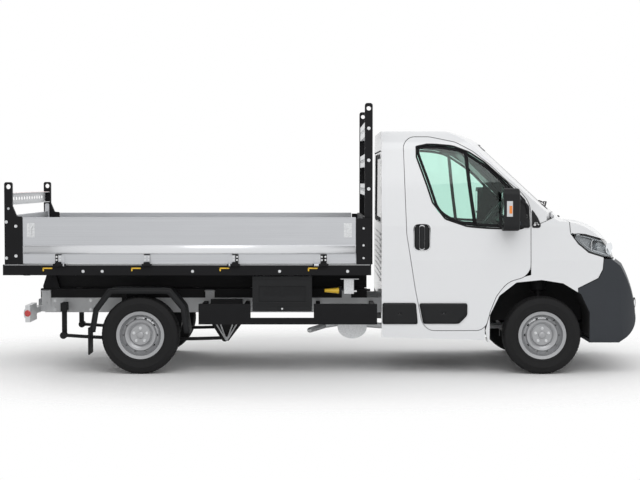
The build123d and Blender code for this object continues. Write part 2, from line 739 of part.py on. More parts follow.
with BuildPart() as mudguards:
    for side in (-1, 1):
        with BuildSketch(Plane.XZ.offset(-side * 770)):
            with BuildLine():
                FilletPolyline((rx(-470), 400), (rx(-430), 620), (rx(-290), 813), (rx(290), 813), (rx(430), 640),
                               (rx(470), 390), radius=90)
                offset(amount=5, side=Side.BOTH)
            make_face()
        extrude(amount=-side * 245)
        slab(rx(-489), rx(-475) - fit, side * 780, side * 1010, 185, 440)
        slab(rx(-200), rx(-160), side * (rail_offset + fit), side * 775, 640, 680)
        slab(rx(-200), rx(-160), side * 740, side * 775, 640, 812)
save(mudguards, "mudguards")

with BuildPart() as rear_lamps:
    for side in (-1, 1):
        slab(rx(-1085), rx(-1040), side * 640, side * 980, 490, 650)
        slab(rx(-1090), rx(-1040), side * (rail_offset - 150), side * 640, 545, 600)
        slab(rx(-1040), rx(rail_back) - fit, side * 360, side * 430, 545, 600)
save(rear_lamps, "rear_lamps")

# Bed frame: long members, bearers, side raves, hinge plates and the ram's ears
long_y = (290, 350)
long_z = (sub_top + 4, 932)
bearer_z = (long_z[1], board_bottom - 14)
eye_z = ram_z + ram_closed
bearer_stations = (rx(-1070), rx(-640), rx(ram_x - 200), rx(ram_x + 200), rx(900), rx(1300), fx(-1690))
hinge_ends = (rx(bed_back) + shut_gap, fx(bed_front) - shut_gap)
strap_inset = 361
strap_count = 4
strap_pitch = (hinge_ends[1] - hinge_ends[0] - 2 * strap_inset) / (strap_count - 1)
strap_stations = [hinge_ends[0] + strap_inset + i * strap_pitch for i in range(strap_count)]
strap_width = 60
drop_y = bed_half_width + 27
drop_z = board_bottom - 17
drop_pin = 6
with BuildPart() as bed_frame:
    for side in (-1, 1):
        slab(rx(hinge_x + 60), fx(-1640), side * long_y[0], side * long_y[1], long_z[0], long_z[1])
        with BuildSketch(Plane.XZ.offset(-side * long_y[0])):
            shape(((rx(hinge_x + 61), long_z[0]), (rx(hinge_x + 61), long_z[1]), (rx(hinge_x - 70), long_z[1]),
                   (rx(hinge_x - 30), hinge_z - 36), (rx(hinge_x + 20), hinge_z - 42)))
        extrude(amount=-side * (long_y[1] - long_y[0]))
        with BuildSketch(Plane.XZ.offset(-side * long_y[1])):
            with Locations((rx(hinge_x), hinge_z)):
                Circle(pin_radius)
        extrude(amount=-side * (ear_y + ear_half + 8 - long_y[1]))
        slab(rx(-rear_overhang), fx(-1618), side * (bed_half_width - 45), side * bed_half_width,
             board_bottom - 14 - rave_depth, board_bottom - 14)
        slab(rx(ram_x - 170), rx(ram_x + 170), side * 50, side * 64, 912, bearer_z[1])
        for station in strap_stations:
            for end in (-1, 1):
                lug = station + end * (strap_width / 2 + 8)
                slab(lug - 6, lug + 6, side * bed_half_width, side * (drop_y + 10), drop_z - 18, drop_z + 10)
            with BuildSketch(Plane.YZ.offset(station - strap_width / 2 - 8)):
                with Locations((side * drop_y, drop_z)):
                    Circle(drop_pin)
            extrude(amount=strap_width + 16)
    for station in bearer_stations:
        slab(station - 30, station + 30, -bed_half_width + 45, bed_half_width - 45, bearer_z[0], bearer_z[1])
save(bed_frame, "bed_frame")

floor_z = board_bottom - 14
with BuildPart() as bed_floor:
    slab(rx(bed_back - 150), fx(-1705), -bed_half_width + 44, bed_half_width - 44, floor_z + fit, floor_z + 8)
save(bed_floor, "bed_floor")

# Headboard: two posts with their corner boxes, and a panel
head_post = (fx(-1678), fx(-1604))
head_top = 2558
post_y = (925, 975)
head_bar_heights = ((1689, 1797), (1964, 2083), (2248, 2389))
with BuildPart() as head_posts:
    for side in (-1, 1):
        with BuildSketch(Plane.XZ.offset(-side * post_y[0])):
            with BuildLine():
                FilletPolyline((head_post[0], floor_z + fit), (head_post[0], head_top), (head_post[1], head_top),
                               (head_post[1], floor_z + fit), radius=24)
                Line((head_post[1], floor_z + fit), (head_post[0], floor_z + fit))
            make_face()
            with Locations(((head_post[0] + head_post[1]) / 2, 2508)):
                Circle(21, mode=Mode.SUBTRACT)
        extrude(amount=-side * (post_y[1] - post_y[0]))
        slab(fx(bed_front), fx(-1618), side * post_y[1], side * bed_half_width, floor_z + fit, 1474)
save(head_posts, "head_posts")

with BuildPart() as headboard:
    slab(fx(-1700), head_post[0] - fit, -post_y[1], post_y[1], floor_z + fit, 1484)
    slab(head_post[0] - fit, head_post[0] + 10, -post_y[0] + fit, post_y[0] - fit, floor_z + fit, 1484)
save(headboard, "headboard")

# Three galvanised bars across the headboard, slotted channels between its posts
bar_half = post_y[0] - fit
with BuildPart() as head_bars:
    for low, high in head_bar_heights:
        slab(head_post[0] + 8, head_post[0] + 54, -bar_half, bar_half, low, high)
        slab(head_post[0] + 14, head_post[0] + 60, -bar_half - 1, bar_half + 1, low + 6, high - 6,
             mode=Mode.SUBTRACT)
        with BuildSketch(Plane.YZ.offset(head_post[0])):
            with GridLocations(130, 0, 13, 1):
                with Locations((0, (low + high) / 2)):
                    SlotOverall(90, 32)
        extrude(amount=20, mode=Mode.SUBTRACT)
save(head_bars, "head_bars")

# Rear posts with their corner boxes
rear_post = (rx(-1267), rx(-1192))
rear_top = 1814
rear_y = (bed_half_width - 40, bed_half_width)
tail_pin_z = 1566
tail_x = rx(-1229)
tail_pin = 12
with BuildPart() as rear_posts:
    for side in (-1, 1):
        with BuildSketch(Plane.XZ.offset(-side * rear_y[0])):
            with BuildLine():
                FilletPolyline((rear_post[0], floor_z + fit), (rear_post[0], rear_top), (rear_post[1], rear_top),
                               (rear_post[1], 1590), (rear_post[1] + 40, 1493), (rx(bed_back), 1493),
                               (rx(bed_back), floor_z + fit), radius=20)
                Line((rx(bed_back), floor_z + fit), (rear_post[0], floor_z + fit))
            make_face()
            with Locations(((rear_post[0] + rear_post[1]) / 2, 1771)):
                Circle(23.5, mode=Mode.SUBTRACT)
            with Locations((tail_x, tail_pin_z)):
                Circle(tail_pin + fit, mode=Mode.SUBTRACT)
        extrude(amount=-side * (rear_y[1] - rear_y[0]))
save(rear_posts, "rear_posts")

ladder_z = (1600, 1711)
with BuildPart() as ladder_bar:
    slab(tail_x - 26, tail_x + 26, -rear_y[0] + fit, rear_y[0] - fit, ladder_z[0], ladder_z[1])
    slab(tail_x - 20, tail_x + 30, -rear_y[0], rear_y[0], ladder_z[0] + 6, ladder_z[1] - 6, mode=Mode.SUBTRACT)
    with BuildSketch(Plane.YZ.offset(tail_x - 40)):
        with GridLocations(130, 0, 13, 1):
            with Locations((0, (ladder_z[0] + ladder_z[1]) / 2)):
                SlotOverall(90, 30)
    extrude(amount=30, mode=Mode.SUBTRACT)
save(ladder_bar, "ladder_bar")

# Dropsides: one aluminium profile each, on strap hinges
board_top = board_bottom + board_height
board_in = bed_half_width - board_thickness
for side, name in ((-1, "right"), (1, "left")):
    with BuildPart() as dropside:
        with BuildSketch(Plane.YZ.offset(hinge_ends[0])) as profile:
            with BuildLine():
                Polyline((side * (bed_half_width - 3), board_top), (side * board_in, board_top),
                         (side * board_in, board_bottom), (side * (bed_half_width - 4), board_bottom),
                         (side * (bed_half_width - 4), 1137), (side * bed_half_width, 1139))
                ThreePointArc((side * bed_half_width, 1139), (side * (bed_half_width + 5), 1181),
                              (side * bed_half_width, 1224))
                Polyline((side * bed_half_width, 1224), (side * (bed_half_width - 3), 1226),
                         (side * (bed_half_width - 3), board_top))
            make_face()
        extrude(amount=hinge_ends[1] - hinge_ends[0])
        for station in strap_stations:
            with BuildSketch(Plane.YZ.offset(station - strap_width / 2)):
                with BuildLine():
                    Polyline((side * (bed_half_width - 4), 1127), (side * (bed_half_width + 5), 1127),
                             (side * (bed_half_width + 5), 1062), (side * (drop_y + 9), drop_z + 8),
                             (side * (drop_y - 9), drop_z - 2), (side * (bed_half_width - 4), 1058),
                             (side * (bed_half_width - 4), 1127))
                make_face()
                with Locations((side * drop_y, drop_z)):
                    Circle(drop_pin + 6)
                    Circle(drop_pin + fit, mode=Mode.SUBTRACT)
            extrude(amount=strap_width)
    save(dropside, f"dropside_{name}")

# Tailboard, hung from pins at the top of its end arms
tail_half = rear_y[0] - 5
with BuildPart() as tailboard:
    slab(tail_x - 14, tail_x + 14, -tail_half, tail_half, floor_z + 14, 1500)
    for side in (-1, 1):
        with BuildSketch(Plane.XZ.offset(-side * (tail_half - 12))):
            shape(((tail_x - 24, 1400), (tail_x + 24, 1400), (tail_x + 22, tail_pin_z + 20),
                   (tail_x - 22, tail_pin_z + 20)), 20)
        extrude(amount=-side * 12)
        with BuildSketch(Plane.XZ.offset(-side * tail_half)):
            with Locations((tail_x, tail_pin_z)):
                Circle(tail_pin)
        extrude(amount=-side * 40)
save(tailboard, "tailboard")

# Tipping ram: barrel on its cross pin, then two stages inside each other
stage_radius = (62, 47)
with BuildPart() as ram_barrel:
    with BuildSketch(Plane.XY.offset(ram_z + 30)):
        with Locations((rx(ram_x), 0)):
            Circle(ram_radius)
    extrude(amount=470)
    with BuildSketch(Plane.XY.offset(ram_z + 50)):
        with Locations((rx(ram_x), 0)):
            Circle(stage_radius[0] + fit)
    extrude(amount=470, mode=Mode.SUBTRACT)
    with BuildSketch(Plane.XZ.offset(-50)):
        with Locations((rx(ram_x), ram_z)):
            Circle(44)
    extrude(amount=100)
    with BuildSketch(Plane.XZ.offset(-120)):
        with Locations((rx(ram_x), ram_z)):
            Circle(pin_radius + fit)
    extrude(amount=240, mode=Mode.SUBTRACT)
save(ram_barrel, "ram_barrel")
with BuildPart() as ram_stage_1:
    with BuildSketch(Plane.XY.offset(ram_z + 52)):
        with Locations((rx(ram_x), 0)):
            Circle(stage_radius[0])
            Circle(stage_radius[1] + fit, mode=Mode.SUBTRACT)
    extrude(amount=462)
save(ram_stage_1, "ram_stage_1")
with BuildPart() as ram_stage_2:
    with BuildSketch(Plane.XY.offset(ram_z + 52)):
        with Locations((rx(ram_x), 0)):
            Circle(stage_radius[1])
    extrude(amount=474)
    with BuildSketch(Plane.XZ.offset(-30)):
        with Locations((rx(ram_x), eye_z)):
            Circle(36)
            Circle(20, mode=Mode.SUBTRACT)
    extrude(amount=60)
save(ram_stage_2, "ram_stage_2")
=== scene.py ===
from math import cos, hypot, pi, radians, sin

import bmesh
import bpy
from mathutils import Matrix, Vector
from mathutils.bvhtree import BVHTree


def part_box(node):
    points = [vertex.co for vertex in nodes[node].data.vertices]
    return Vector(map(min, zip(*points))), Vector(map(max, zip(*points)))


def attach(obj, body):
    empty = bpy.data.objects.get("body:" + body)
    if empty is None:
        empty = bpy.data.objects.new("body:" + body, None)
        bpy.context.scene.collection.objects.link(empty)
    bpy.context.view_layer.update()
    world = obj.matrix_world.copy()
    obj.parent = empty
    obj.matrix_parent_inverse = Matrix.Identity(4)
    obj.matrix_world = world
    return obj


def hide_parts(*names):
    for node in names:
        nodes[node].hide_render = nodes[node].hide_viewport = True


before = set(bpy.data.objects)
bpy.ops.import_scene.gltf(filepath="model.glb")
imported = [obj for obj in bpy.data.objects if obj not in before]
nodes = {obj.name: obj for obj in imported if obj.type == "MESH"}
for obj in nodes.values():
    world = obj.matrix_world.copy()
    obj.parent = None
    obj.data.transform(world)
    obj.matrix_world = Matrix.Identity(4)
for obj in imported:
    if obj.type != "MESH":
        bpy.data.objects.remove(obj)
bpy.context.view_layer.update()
stage = bpy.context.scene
stage.view_settings.view_transform = "Standard"

# Camera: a long lens square to the truck's right side, level with the cab's
# waist and tipped down a little, as in the photograph.
camera = bpy.data.objects.new("camera", bpy.data.cameras.new("camera"))
camera.data.lens = 83.4
camera.data.sensor_width = 36
camera.location = (-0.0575, -14.95, 1.83)
camera.rotation_euler = (radians(87.7), 0, 0)
camera.data.clip_end = 300
stage.collection.objects.link(camera)
stage.camera = camera


# Shader sums: a socket that takes part in plain arithmetic, and the finish
# that owns it. Each finish is one material with one Principled shader.
class Value:
    """A number from a node, which adds, multiplies and compares."""

    def __init__(self, owner, socket):
        self.owner = owner
        self.socket = socket

    def sum(self, operation, first, second):
        return self.owner.make("ShaderNodeMath", {"operation": operation}, {0: first, 1: second})

    def __add__(self, other):
        return self.sum("ADD", self, other)

    def __mul__(self, other):
        return self.sum("MULTIPLY", self, other)

    def __gt__(self, other):
        return self.sum("GREATER_THAN", self, other)


class Finish:
    """A material: constants on its own sockets, and nodes only for what varies."""

    slot = None  # the record's material for what wears this finish

    def __init__(self, name, colour, roughness, metallic=0.0, **constants):
        self.material = bpy.data.materials.new(name)
        self.material.use_nodes = True
        self.tree = self.material.node_tree
        self.shader = self.tree.nodes["Principled BSDF"]
        self.colour = colour
        self.shader.inputs["Base Color"].default_value = (*colour, 1)
        self.shader.inputs["Roughness"].default_value = roughness
        self.shader.inputs["Metallic"].default_value = metallic
        for socket, value in constants.items():
            self.shader.inputs[socket.replace("_", " ")].default_value = value

    def make(self, kind, settings=None, inputs=None, out=0):
        """Add a node: its settings first, then the values or links of its sockets."""
        node = self.tree.nodes.new(kind)
        for name, value in (settings or {}).items():
            setattr(node, name, value)
        for key, value in (inputs or {}).items():
            if isinstance(value, Value):
                self.tree.links.new(value.socket, node.inputs[key])
            else:
                node.inputs[key].default_value = value
        return Value(self, node.outputs[out])

    def place(self, stretch=(1, 1, 1)):
        """Where a point lies, in metres, stretched along the axes."""
        here = self.make("ShaderNodeTexCoord", out=3)
        return self.make("ShaderNodeVectorMath", {"operation": "MULTIPLY"}, {0: here, 1: stretch})

    def noise(self, scale, detail=3.0, stretch=(1, 1, 1)):
        return self.make("ShaderNodeTexNoise",
                         inputs={"Vector": self.place(stretch), "Scale": scale, "Detail": detail})

    def blend(self, first, second, factor):
        """Mix two colours by a number."""
        colours = [(*c, 1) if isinstance(c, tuple) else c for c in (first, second)]
        return self.make("ShaderNodeMix", {"data_type": "RGBA"},
                         {0: factor, 6: colours[0], 7: colours[1]}, out=2)

    def feed(self, socket, value):
        self.tree.links.new(value.socket, self.shader.inputs[socket])

    def raise_by(self, height, strength, distance):
        """Bump from a height."""
        bump = self.make("ShaderNodeBump",
                         inputs={"Height": height, "Strength": strength, "Distance": distance})
        self.feed("Normal", bump)

    def vary(self, spread, scale, rough_spread=0.05, stretch=(1, 1, 1)):
        """Uneven tone and gloss, as paint and plastic have."""
        cloud = self.noise(scale, 4.0, stretch)
        darker = tuple(c * (1 - spread) for c in self.colour)
        lighter = tuple(min(1.0, c * (1 + spread)) for c in self.colour)
        self.feed("Base Color", self.blend(darker, lighter, cloud))
        rough = self.shader.inputs["Roughness"].default_value
        self.feed("Roughness", cloud * (2 * rough_spread) + (rough - rough_spread))
        return self


def coat(finish, *names):
    """Give carried-over nodes their finish."""
    for name in names:
        nodes[name].data.materials.clear()
        nodes[name].data.materials.append(finish.material)


# Studio: a pale floor that fades out into an even white room, with one large
# soft lamp high on the camera's side and two more. Rays from the lens, glass
# and gloss see plain white.
world = bpy.data.worlds.new("room")
stage.world = world
world.use_nodes = True
room = world.node_tree
room.nodes["Background"].inputs["Color"].default_value = (1, 1, 1, 1)
room.nodes["Background"].inputs["Strength"].default_value = 0.62
seen = room.nodes.new("ShaderNodeBackground")
seen.inputs["Color"].default_value = (1, 1, 1, 1)
seen.inputs["Strength"].default_value = 1.0
choose = room.nodes.new("ShaderNodeMixShader")
paths = room.nodes.new("ShaderNodeLightPath")
clear_ray = paths.outputs["Is Camera Ray"]
for ray in ("Is Glossy Ray", "Is Transmission Ray"):
    either = room.nodes.new("ShaderNodeMath")
    either.operation = "MAXIMUM"
    room.links.new(clear_ray, either.inputs[0])
    room.links.new(paths.outputs[ray], either.inputs[1])
    clear_ray = either.outputs[0]
room.links.new(clear_ray, choose.inputs[0])
room.links.new(room.nodes["Background"].outputs[0], choose.inputs[1])
room.links.new(seen.outputs[0], choose.inputs[2])
room.links.new(choose.outputs[0], room.nodes["World Output"].inputs["Surface"])

floor_mesh = bpy.data.meshes.new("floor")
floor_corners = [(-60, -30, 0), (60, -30, 0), (60, 60, 0), (-60, 60, 0)]
floor_mesh.from_pydata(floor_corners, [], [(0, 1, 2, 3)])
floor = bpy.data.objects.new("floor", floor_mesh)
stage.collection.objects.link(floor)
pale_floor = Finish("pale_floor", (0.97, 0.97, 0.97), 0.9)
pale_floor.vary(0.01, 0.6)
away = pale_floor.make("ShaderNodeVectorMath", {"operation": "LENGTH"},
                       {0: pale_floor.place((0.22, 0.30, 1))}, out=1)
fade = pale_floor.make("ShaderNodeMapRange", {"interpolation_type": "SMOOTHSTEP"},
                       {"Value": away, "From Min": 0.62, "From Max": 1.15})
gone = pale_floor.tree.nodes.new("ShaderNodeBsdfTransparent")
fading = pale_floor.tree.nodes.new("ShaderNodeMixShader")
pale_floor.tree.links.new(fade.socket, fading.inputs[0])
pale_floor.tree.links.new(pale_floor.shader.outputs[0], fading.inputs[1])
pale_floor.tree.links.new(gone.outputs[0], fading.inputs[2])
pale_floor.tree.links.new(fading.outputs[0], pale_floor.tree.nodes["Material Output"].inputs["Surface"])
floor_mesh.materials.append(pale_floor.material)

# columns: lamp, place, aim, size across, watts
for lamp_name, place, aim, size, power in (
    ("key", (1.5, -9.0, 8.0), (0, 0, 0.8), 9.0, 430),
    ("fill", (9.0, 2.0, 6.0), (0, 0, 1.0), 6.0, 170),
    ("back", (-6.0, 8.0, 7.0), (0, 0, 1.0), 7.0, 240),
):
    lamp = bpy.data.objects.new(lamp_name, bpy.data.lights.new(lamp_name, "AREA"))
    lamp.data.size = size
    lamp.data.energy = power
    lamp.location = place
    lamp.rotation_euler = (Vector(aim) - Vector(place)).to_track_quat("-Z", "Y").to_euler()
    stage.collection.objects.link(lamp)


# Chassis frame: pressed steel channels and crossmembers in pale grey primer,
# with the black tipper subframe bolted on top.
def axle_station(tyre):
    low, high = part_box(tyre)
    return (low.x + high.x) / 2


front_axle = axle_station("tyre_front_left")
rear_axle = axle_station("tyre_rear_left")


def fx(distance):
    """A station measured ahead of the front axle."""
    return front_axle + distance


def rx(distance):
    """A station measured ahead of the rear axle."""
    return rear_axle + distance


class Piece:
    """A mesh under construction, in the truck's own frame."""

    def __init__(self):
        self.mesh = bmesh.new()

    def block(self, x0, x1, y0, y1, z0, z1, bevel=0.002):
        """A block with softened edges."""
        size = [abs(b - a) for a, b in ((x0, x1), (y0, y1), (z0, z1))]
        middle = Vector(((x0 + x1) / 2, (y0 + y1) / 2, (z0 + z1) / 2))
        turned = Matrix.Translation(middle) @ Matrix.Diagonal((*size, 1))
        made = bmesh.ops.create_cube(self.mesh, size=1, matrix=turned)
        if bevel:
            edges = list(dict.fromkeys(e for v in made["verts"] for e in v.link_edges))
            bmesh.ops.bevel(self.mesh, geom=edges, offset=min(bevel, min(size) * 0.4), segments=2,
                            affect="EDGES")
        return self

    def rod(self, start, end, radius, sides=20, tip=None):
        """A round bar between two points, tapered if a tip radius is given."""
        start, end = Vector(start), Vector(end)
        along = end - start
        turn = along.to_track_quat("Z", "Y").to_matrix().to_4x4()
        bmesh.ops.create_cone(self.mesh, cap_ends=True, segments=sides, radius1=radius,
                              radius2=radius if tip is None else tip, depth=along.length,
                              matrix=Matrix.Translation((start + end) / 2) @ turn)
        return self

    def turned(self, profile, centre, axis, sides=48, closed=False):
        """Turn a profile of (radius, height) about an axis through a centre."""
        turn = Vector(axis).to_track_quat("Z", "Y").to_matrix()
        angles = [2 * pi * i / sides for i in range(sides)]
        rings = []
        for radius, height in profile:
            ring = [turn @ Vector((radius * cos(a), radius * sin(a), height)) for a in angles]
            rings.append([self.mesh.verts.new(Vector(centre) + point) for point in ring])
        pairs = list(zip(rings, rings[1:])) + ([(rings[-1], rings[0])] if closed else [])
        for low, high in pairs:
            for i in range(sides):
                j = (i + 1) % sides
                self.mesh.faces.new((low[i], low[j], high[j], high[i]))
        if not closed:
            for ring in (rings[0], rings[-1]):
                if (ring[0].co - ring[sides // 2].co).length > 0.0005:
                    self.mesh.faces.new(ring)
        return self

    def sheet(self, rows):
        """A surface through rows of points."""
        grid = [[self.mesh.verts.new(point) for point in row] for row in rows]
        for low, high in zip(grid, grid[1:]):
            for i in range(len(low) - 1):
                self.mesh.faces.new((low[i], low[i + 1], high[i + 1], high[i]))
        return self

    def done(self, name, finish, body, slot=None, thick=0.0, flat_angle=35):
        """Close the mesh, give it its finish and let it ride on its body."""
        bmesh.ops.remove_doubles(self.mesh, verts=self.mesh.verts, dist=0.00001)
        bmesh.ops.recalc_face_normals(self.mesh, faces=self.mesh.faces)
        data = bpy.data.meshes.new(name)
        self.mesh.to_mesh(data)
        self.mesh.free()
        data.materials.append(finish.material)
        made = bpy.data.objects.new(name, data)
        stage.collection.objects.link(made)
        if thick:
            wall = made.modifiers.new("wall", "SOLIDIFY")
            wall.thickness = thick
            wall.offset = -1
        data.shade_smooth()
        data.set_sharp_from_angle(angle=radians(flat_angle))
        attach(made, body)
        return made


chassis_primer = Finish("chassis_primer", (0.60, 0.61, 0.62), 0.5).vary(0.08, 6)
coat(chassis_primer, "chassis_rails", "crossmembers")
black_enamel = Finish("black_enamel", (0.006, 0.006, 0.007), 0.5, Specular_IOR_Level=0.16).vary(0.3, 9, 0.07)
black_enamel.slot = "black_paint"
coat(black_enamel, "tipper_subframe", "bed_frame", "headboard", "head_posts", "rear_posts", "side_guards")
underbody_black = Finish("underbody_black", (0.014, 0.014, 0.015), 0.62, Specular_IOR_Level=0.2)
underbody_black.vary(0.3, 14, 0.1)
coat(underbody_black, "front_suspension", "knuckle_left", "knuckle_right", "rear_axle", "leaf_springs")
cast_block = Finish("cast_block", (0.13, 0.13, 0.14), 0.7).vary(0.25, 30, 0.1)
cast_block.raise_by(cast_block.noise(220), 0.4, 0.001)
coat(cast_block, "engine")

zinc = Finish("zinc", (0.60, 0.61, 0.62), 0.42, 0.75)
spangle = zinc.make("ShaderNodeTexVoronoi", {"feature": "F1"}, {"Vector": zinc.place(), "Scale": 70.0})
zinc.feed("Base Color", zinc.blend((0.52, 0.53, 0.54), (0.68, 0.69, 0.70), spangle * 1.4))
zinc.feed("Roughness", spangle * 0.25 + 0.33)
zinc.slot = "galvanised"
coat(zinc, "silencer", "head_bars", "ladder_bar", "bed_floor")

hands = (("right", -1), ("left", 1))


def bolt(piece, side, place, radius, tall, washer=0.0, washer_tall=0.003):
    """A hexagon head that points outwards, on a washer if it has one."""
    x, y, z = place
    piece.rod((x, side * y, z), (x, side * (y + tall), z), radius, 6)
    if washer:
        piece.rod((x, side * y, z), (x, side * (y + washer_tall), z), washer, 16)


rail_bolts = Piece()
for _, side in hands:
    for station in (rx(-0.90), rx(-0.55), rx(0.35), rx(1.35), fx(-1.45), fx(-1.05), fx(-0.30)):
        for height in (0.565, 0.652):
            bolt(rail_bolts, side, (station, 0.4295, height), 0.011, 0.0105, 0.016)
rail_bolts.done("rail_bolts", zinc, "chassis")

# Subframe brackets: folded plates in pale primer that tie the tipper frame
# to the chassis rails, each with two bolts.
brackets = Piece()
for _, side in hands:
    for station in (rx(-0.985), rx(0.62), rx(1.55), fx(-1.84)):
        brackets.block(station - 0.045, station + 0.045, side * 0.431, side * 0.437, 0.60, 0.758, 0.003)
        brackets.block(station - 0.052, station + 0.052, side * 0.430, side * 0.478, 0.745, 0.753, 0.003)
        for height in (0.63, 0.72):
            bolt(brackets, side, (station, 0.436, height), 0.010, 0.011)
brackets.done("subframe_brackets", chassis_primer, "chassis", "chassis_paint")


# Cab panels: pressed steel in white two-layer paint. The faces that look into the
# cabin are painted near-black, for their dark trim and as painted shade inside the
# shut cab. Trim outside lies on the panels, so its place across the truck is
# found from their own surface.
class Skin:
    """The outer surface of one or more nodes, met from one side."""

    def __init__(self, *names):
        points, faces = [], []
        for name in names:
            data = nodes[name].data
            first = len(points)
            points += [v.co.copy() for v in data.vertices]
            faces += [tuple(first + i for i in face.vertices) for face in data.polygons]
        self.tree = BVHTree.FromPolygons(points, faces)

    def at(self, x, z, side, lift=0.0):
        """The point on the skin at a station and height, lifted off it."""
        place = met(self.tree, (x, side * 3, z), (0, -side, 0))
        if place is None or side * place.y < 0.5:
            return None
        return Vector((x, place.y + side * lift, z))


def met(tree, start, way):
    """Where a line from a start first meets a surface, or None."""
    return tree.ray_cast(Vector(start), Vector(way))[0]


def between(a, b, share):
    return tuple(p + (q - p) * share for p, q in zip(a, b))


def dense(outline, step=0.03, closed=True):
    """An outline with more points along its runs."""
    found = []
    ends = list(outline[1:]) + ([outline[0]] if closed else [])
    for a, b in zip(outline, ends):
        count = max(1, round(hypot(b[0] - a[0], b[1] - a[1]) / step))
        found += [between(a, b, i / count) for i in range(count)]
    return found if closed else found + [outline[-1]]


def rounded(outline, radius, steps=5):
    """An outline with its corners rounded."""
    found = []
    for i, corner in enumerate(outline):
        before, after = outline[i - 1], outline[(i + 1) % len(outline)]
        back = min(radius, 0.45 * hypot(before[0] - corner[0], before[1] - corner[1]))
        ahead = min(radius, 0.45 * hypot(after[0] - corner[0], after[1] - corner[1]))
        start = between(corner, before, back / hypot(before[0] - corner[0], before[1] - corner[1]))
        end = between(corner, after, ahead / hypot(after[0] - corner[0], after[1] - corner[1]))
        for k in range(steps + 1):
            t = k / steps
            found.append(tuple((1 - t) ** 2 * a + 2 * t * (1 - t) * c + t * t * b
                               for a, c, b in zip(start, corner, end)))
    return found


def grown(outline, amount):
    """An outline moved outwards square to its runs."""
    turn = sum(a[0] * b[1] - b[0] * a[1] for a, b in zip(outline, outline[1:] + outline[:1]))
    reach = amount if turn > 0 else -amount
    found = []
    for i, point in enumerate(outline):
        before, after = outline[i - 1], outline[(i + 1) % len(outline)]
        dx, dz = after[0] - before[0], after[1] - before[1]
        long = hypot(dx, dz) or 1
        found.append((point[0] + reach * dz / long, point[1] - reach * dx / long))
    return found


def patch(piece, skin, outline, side, lift, rings=4):
    """A filled shape on the skin, in rings from its middle out to its outline."""
    middle = (sum(p[0] for p in outline) / len(outline), sum(p[1] for p in outline) / len(outline))
    rows = []
    for k in range(rings + 1):
        row = [skin.at(*between(middle, p, k / rings if k else 0.02), side, lift) for p in outline]
        if None in row:
            good = [p for p in row if p is not None]
            row = [p if p is not None else min(good, key=lambda g: abs(g.z - q[1]) + abs(g.x - q[0]))
                   for p, q in zip(row, outline)]
        rows.append(row + [row[0]])
    piece.sheet(rows)


def rings_of(rows):
    """Rows closed into rings, without the stations that miss the skin."""
    kept = [i for i in range(len(rows[0])) if all(row[i] is not None for row in rows)]
    return [[row[i] for i in kept] + [row[kept[0]]] for row in rows]


def band(piece, skin, outline, inner, outer, side, lift):
    """A strip that follows an outline on the skin."""
    reaches = (inner, (inner + outer) / 2, outer)
    piece.sheet(rings_of([[skin.at(*p, side, lift) for p in grown(outline, reach)] for reach in reaches]))


def ahead(points):
    """Points in millimetres ahead of the front axle and above the ground."""
    return [(fx(x / 1000), z / 1000) for x, z in points]


white_paint = Finish("white_paint", (0.79, 0.80, 0.815), 0.3, Coat_Weight=0.6, Coat_Roughness=0.06)
white_paint.vary(0.012, 1.5, 0.02)
white_paint.raise_by(white_paint.noise(260, 2.0), 0.05, 0.0006)
# Faces turned towards a point inside the cab get a near-black colour: dark trim, and painted shade of the
# shut cabin.
facing = white_paint.make("ShaderNodeNewGeometry", out=1)
spot = white_paint.make("ShaderNodeVectorMath", {"operation": "SUBTRACT"},
                        {0: white_paint.place(), 1: (fx(-0.62), 0, 1.35)})
outward = white_paint.make("ShaderNodeVectorMath", {"operation": "DOT_PRODUCT"}, {0: facing, 1: spot}, out=1)
painted = white_paint.shader.inputs["Base Color"].links[0].from_socket
cabin_shade_trim = (0.022, 0.023, 0.025)
white_paint.feed("Base Color", white_paint.blend(cabin_shade_trim, Value(white_paint, painted), outward > 0.0))
coat(white_paint, "cab_shell", "front_wings", "bonnet", "door_left", "door_right")
grained_plastic = Finish("grained_plastic", (0.030, 0.034, 0.040), 0.52, Specular_IOR_Level=0.3)
grained_plastic.vary(0.12, 4, 0.05)
grained_plastic.raise_by(grained_plastic.noise(900, 2.0), 0.25, 0.0004)
coat(grained_plastic, "front_bumper")
black_plastic = Finish("black_plastic", (0.010, 0.0105, 0.0115), 0.5, Specular_IOR_Level=0.22)
black_plastic.vary(0.2, 12, 0.08)
black_plastic.slot = "black_plastic"
coat(black_plastic, "grille", "mudguards", "fuel_tank", "dashboard", "mirror_left", "mirror_right", "toolbox")

# Side mouldings: black plastic strips clipped to the doors and sills at knee
# height, with the lower front corner cut off.
sill_moulding = [(-1512, 677), (-1196, 677), (-1178, 477), (-1512, 477)]
door_moulding = [(-1166, 674), (-712, 674), (-712, 560), (-790, 480), (-1128, 480)]
for hand, side in hands:
    for part, node, body, outline in (
        ("chassis", "cab_shell", "chassis", sill_moulding),
        ("door", f"door_{hand}", f"door_{hand}", door_moulding),
    ):
        strip = Piece()
        patch(strip, Skin(node), dense(rounded(ahead(outline), 0.02, 3), 0.05), side, 0.010, 5)
        strip.done(f"moulding_{part}_{hand}", black_plastic, body, thick=0.0095)

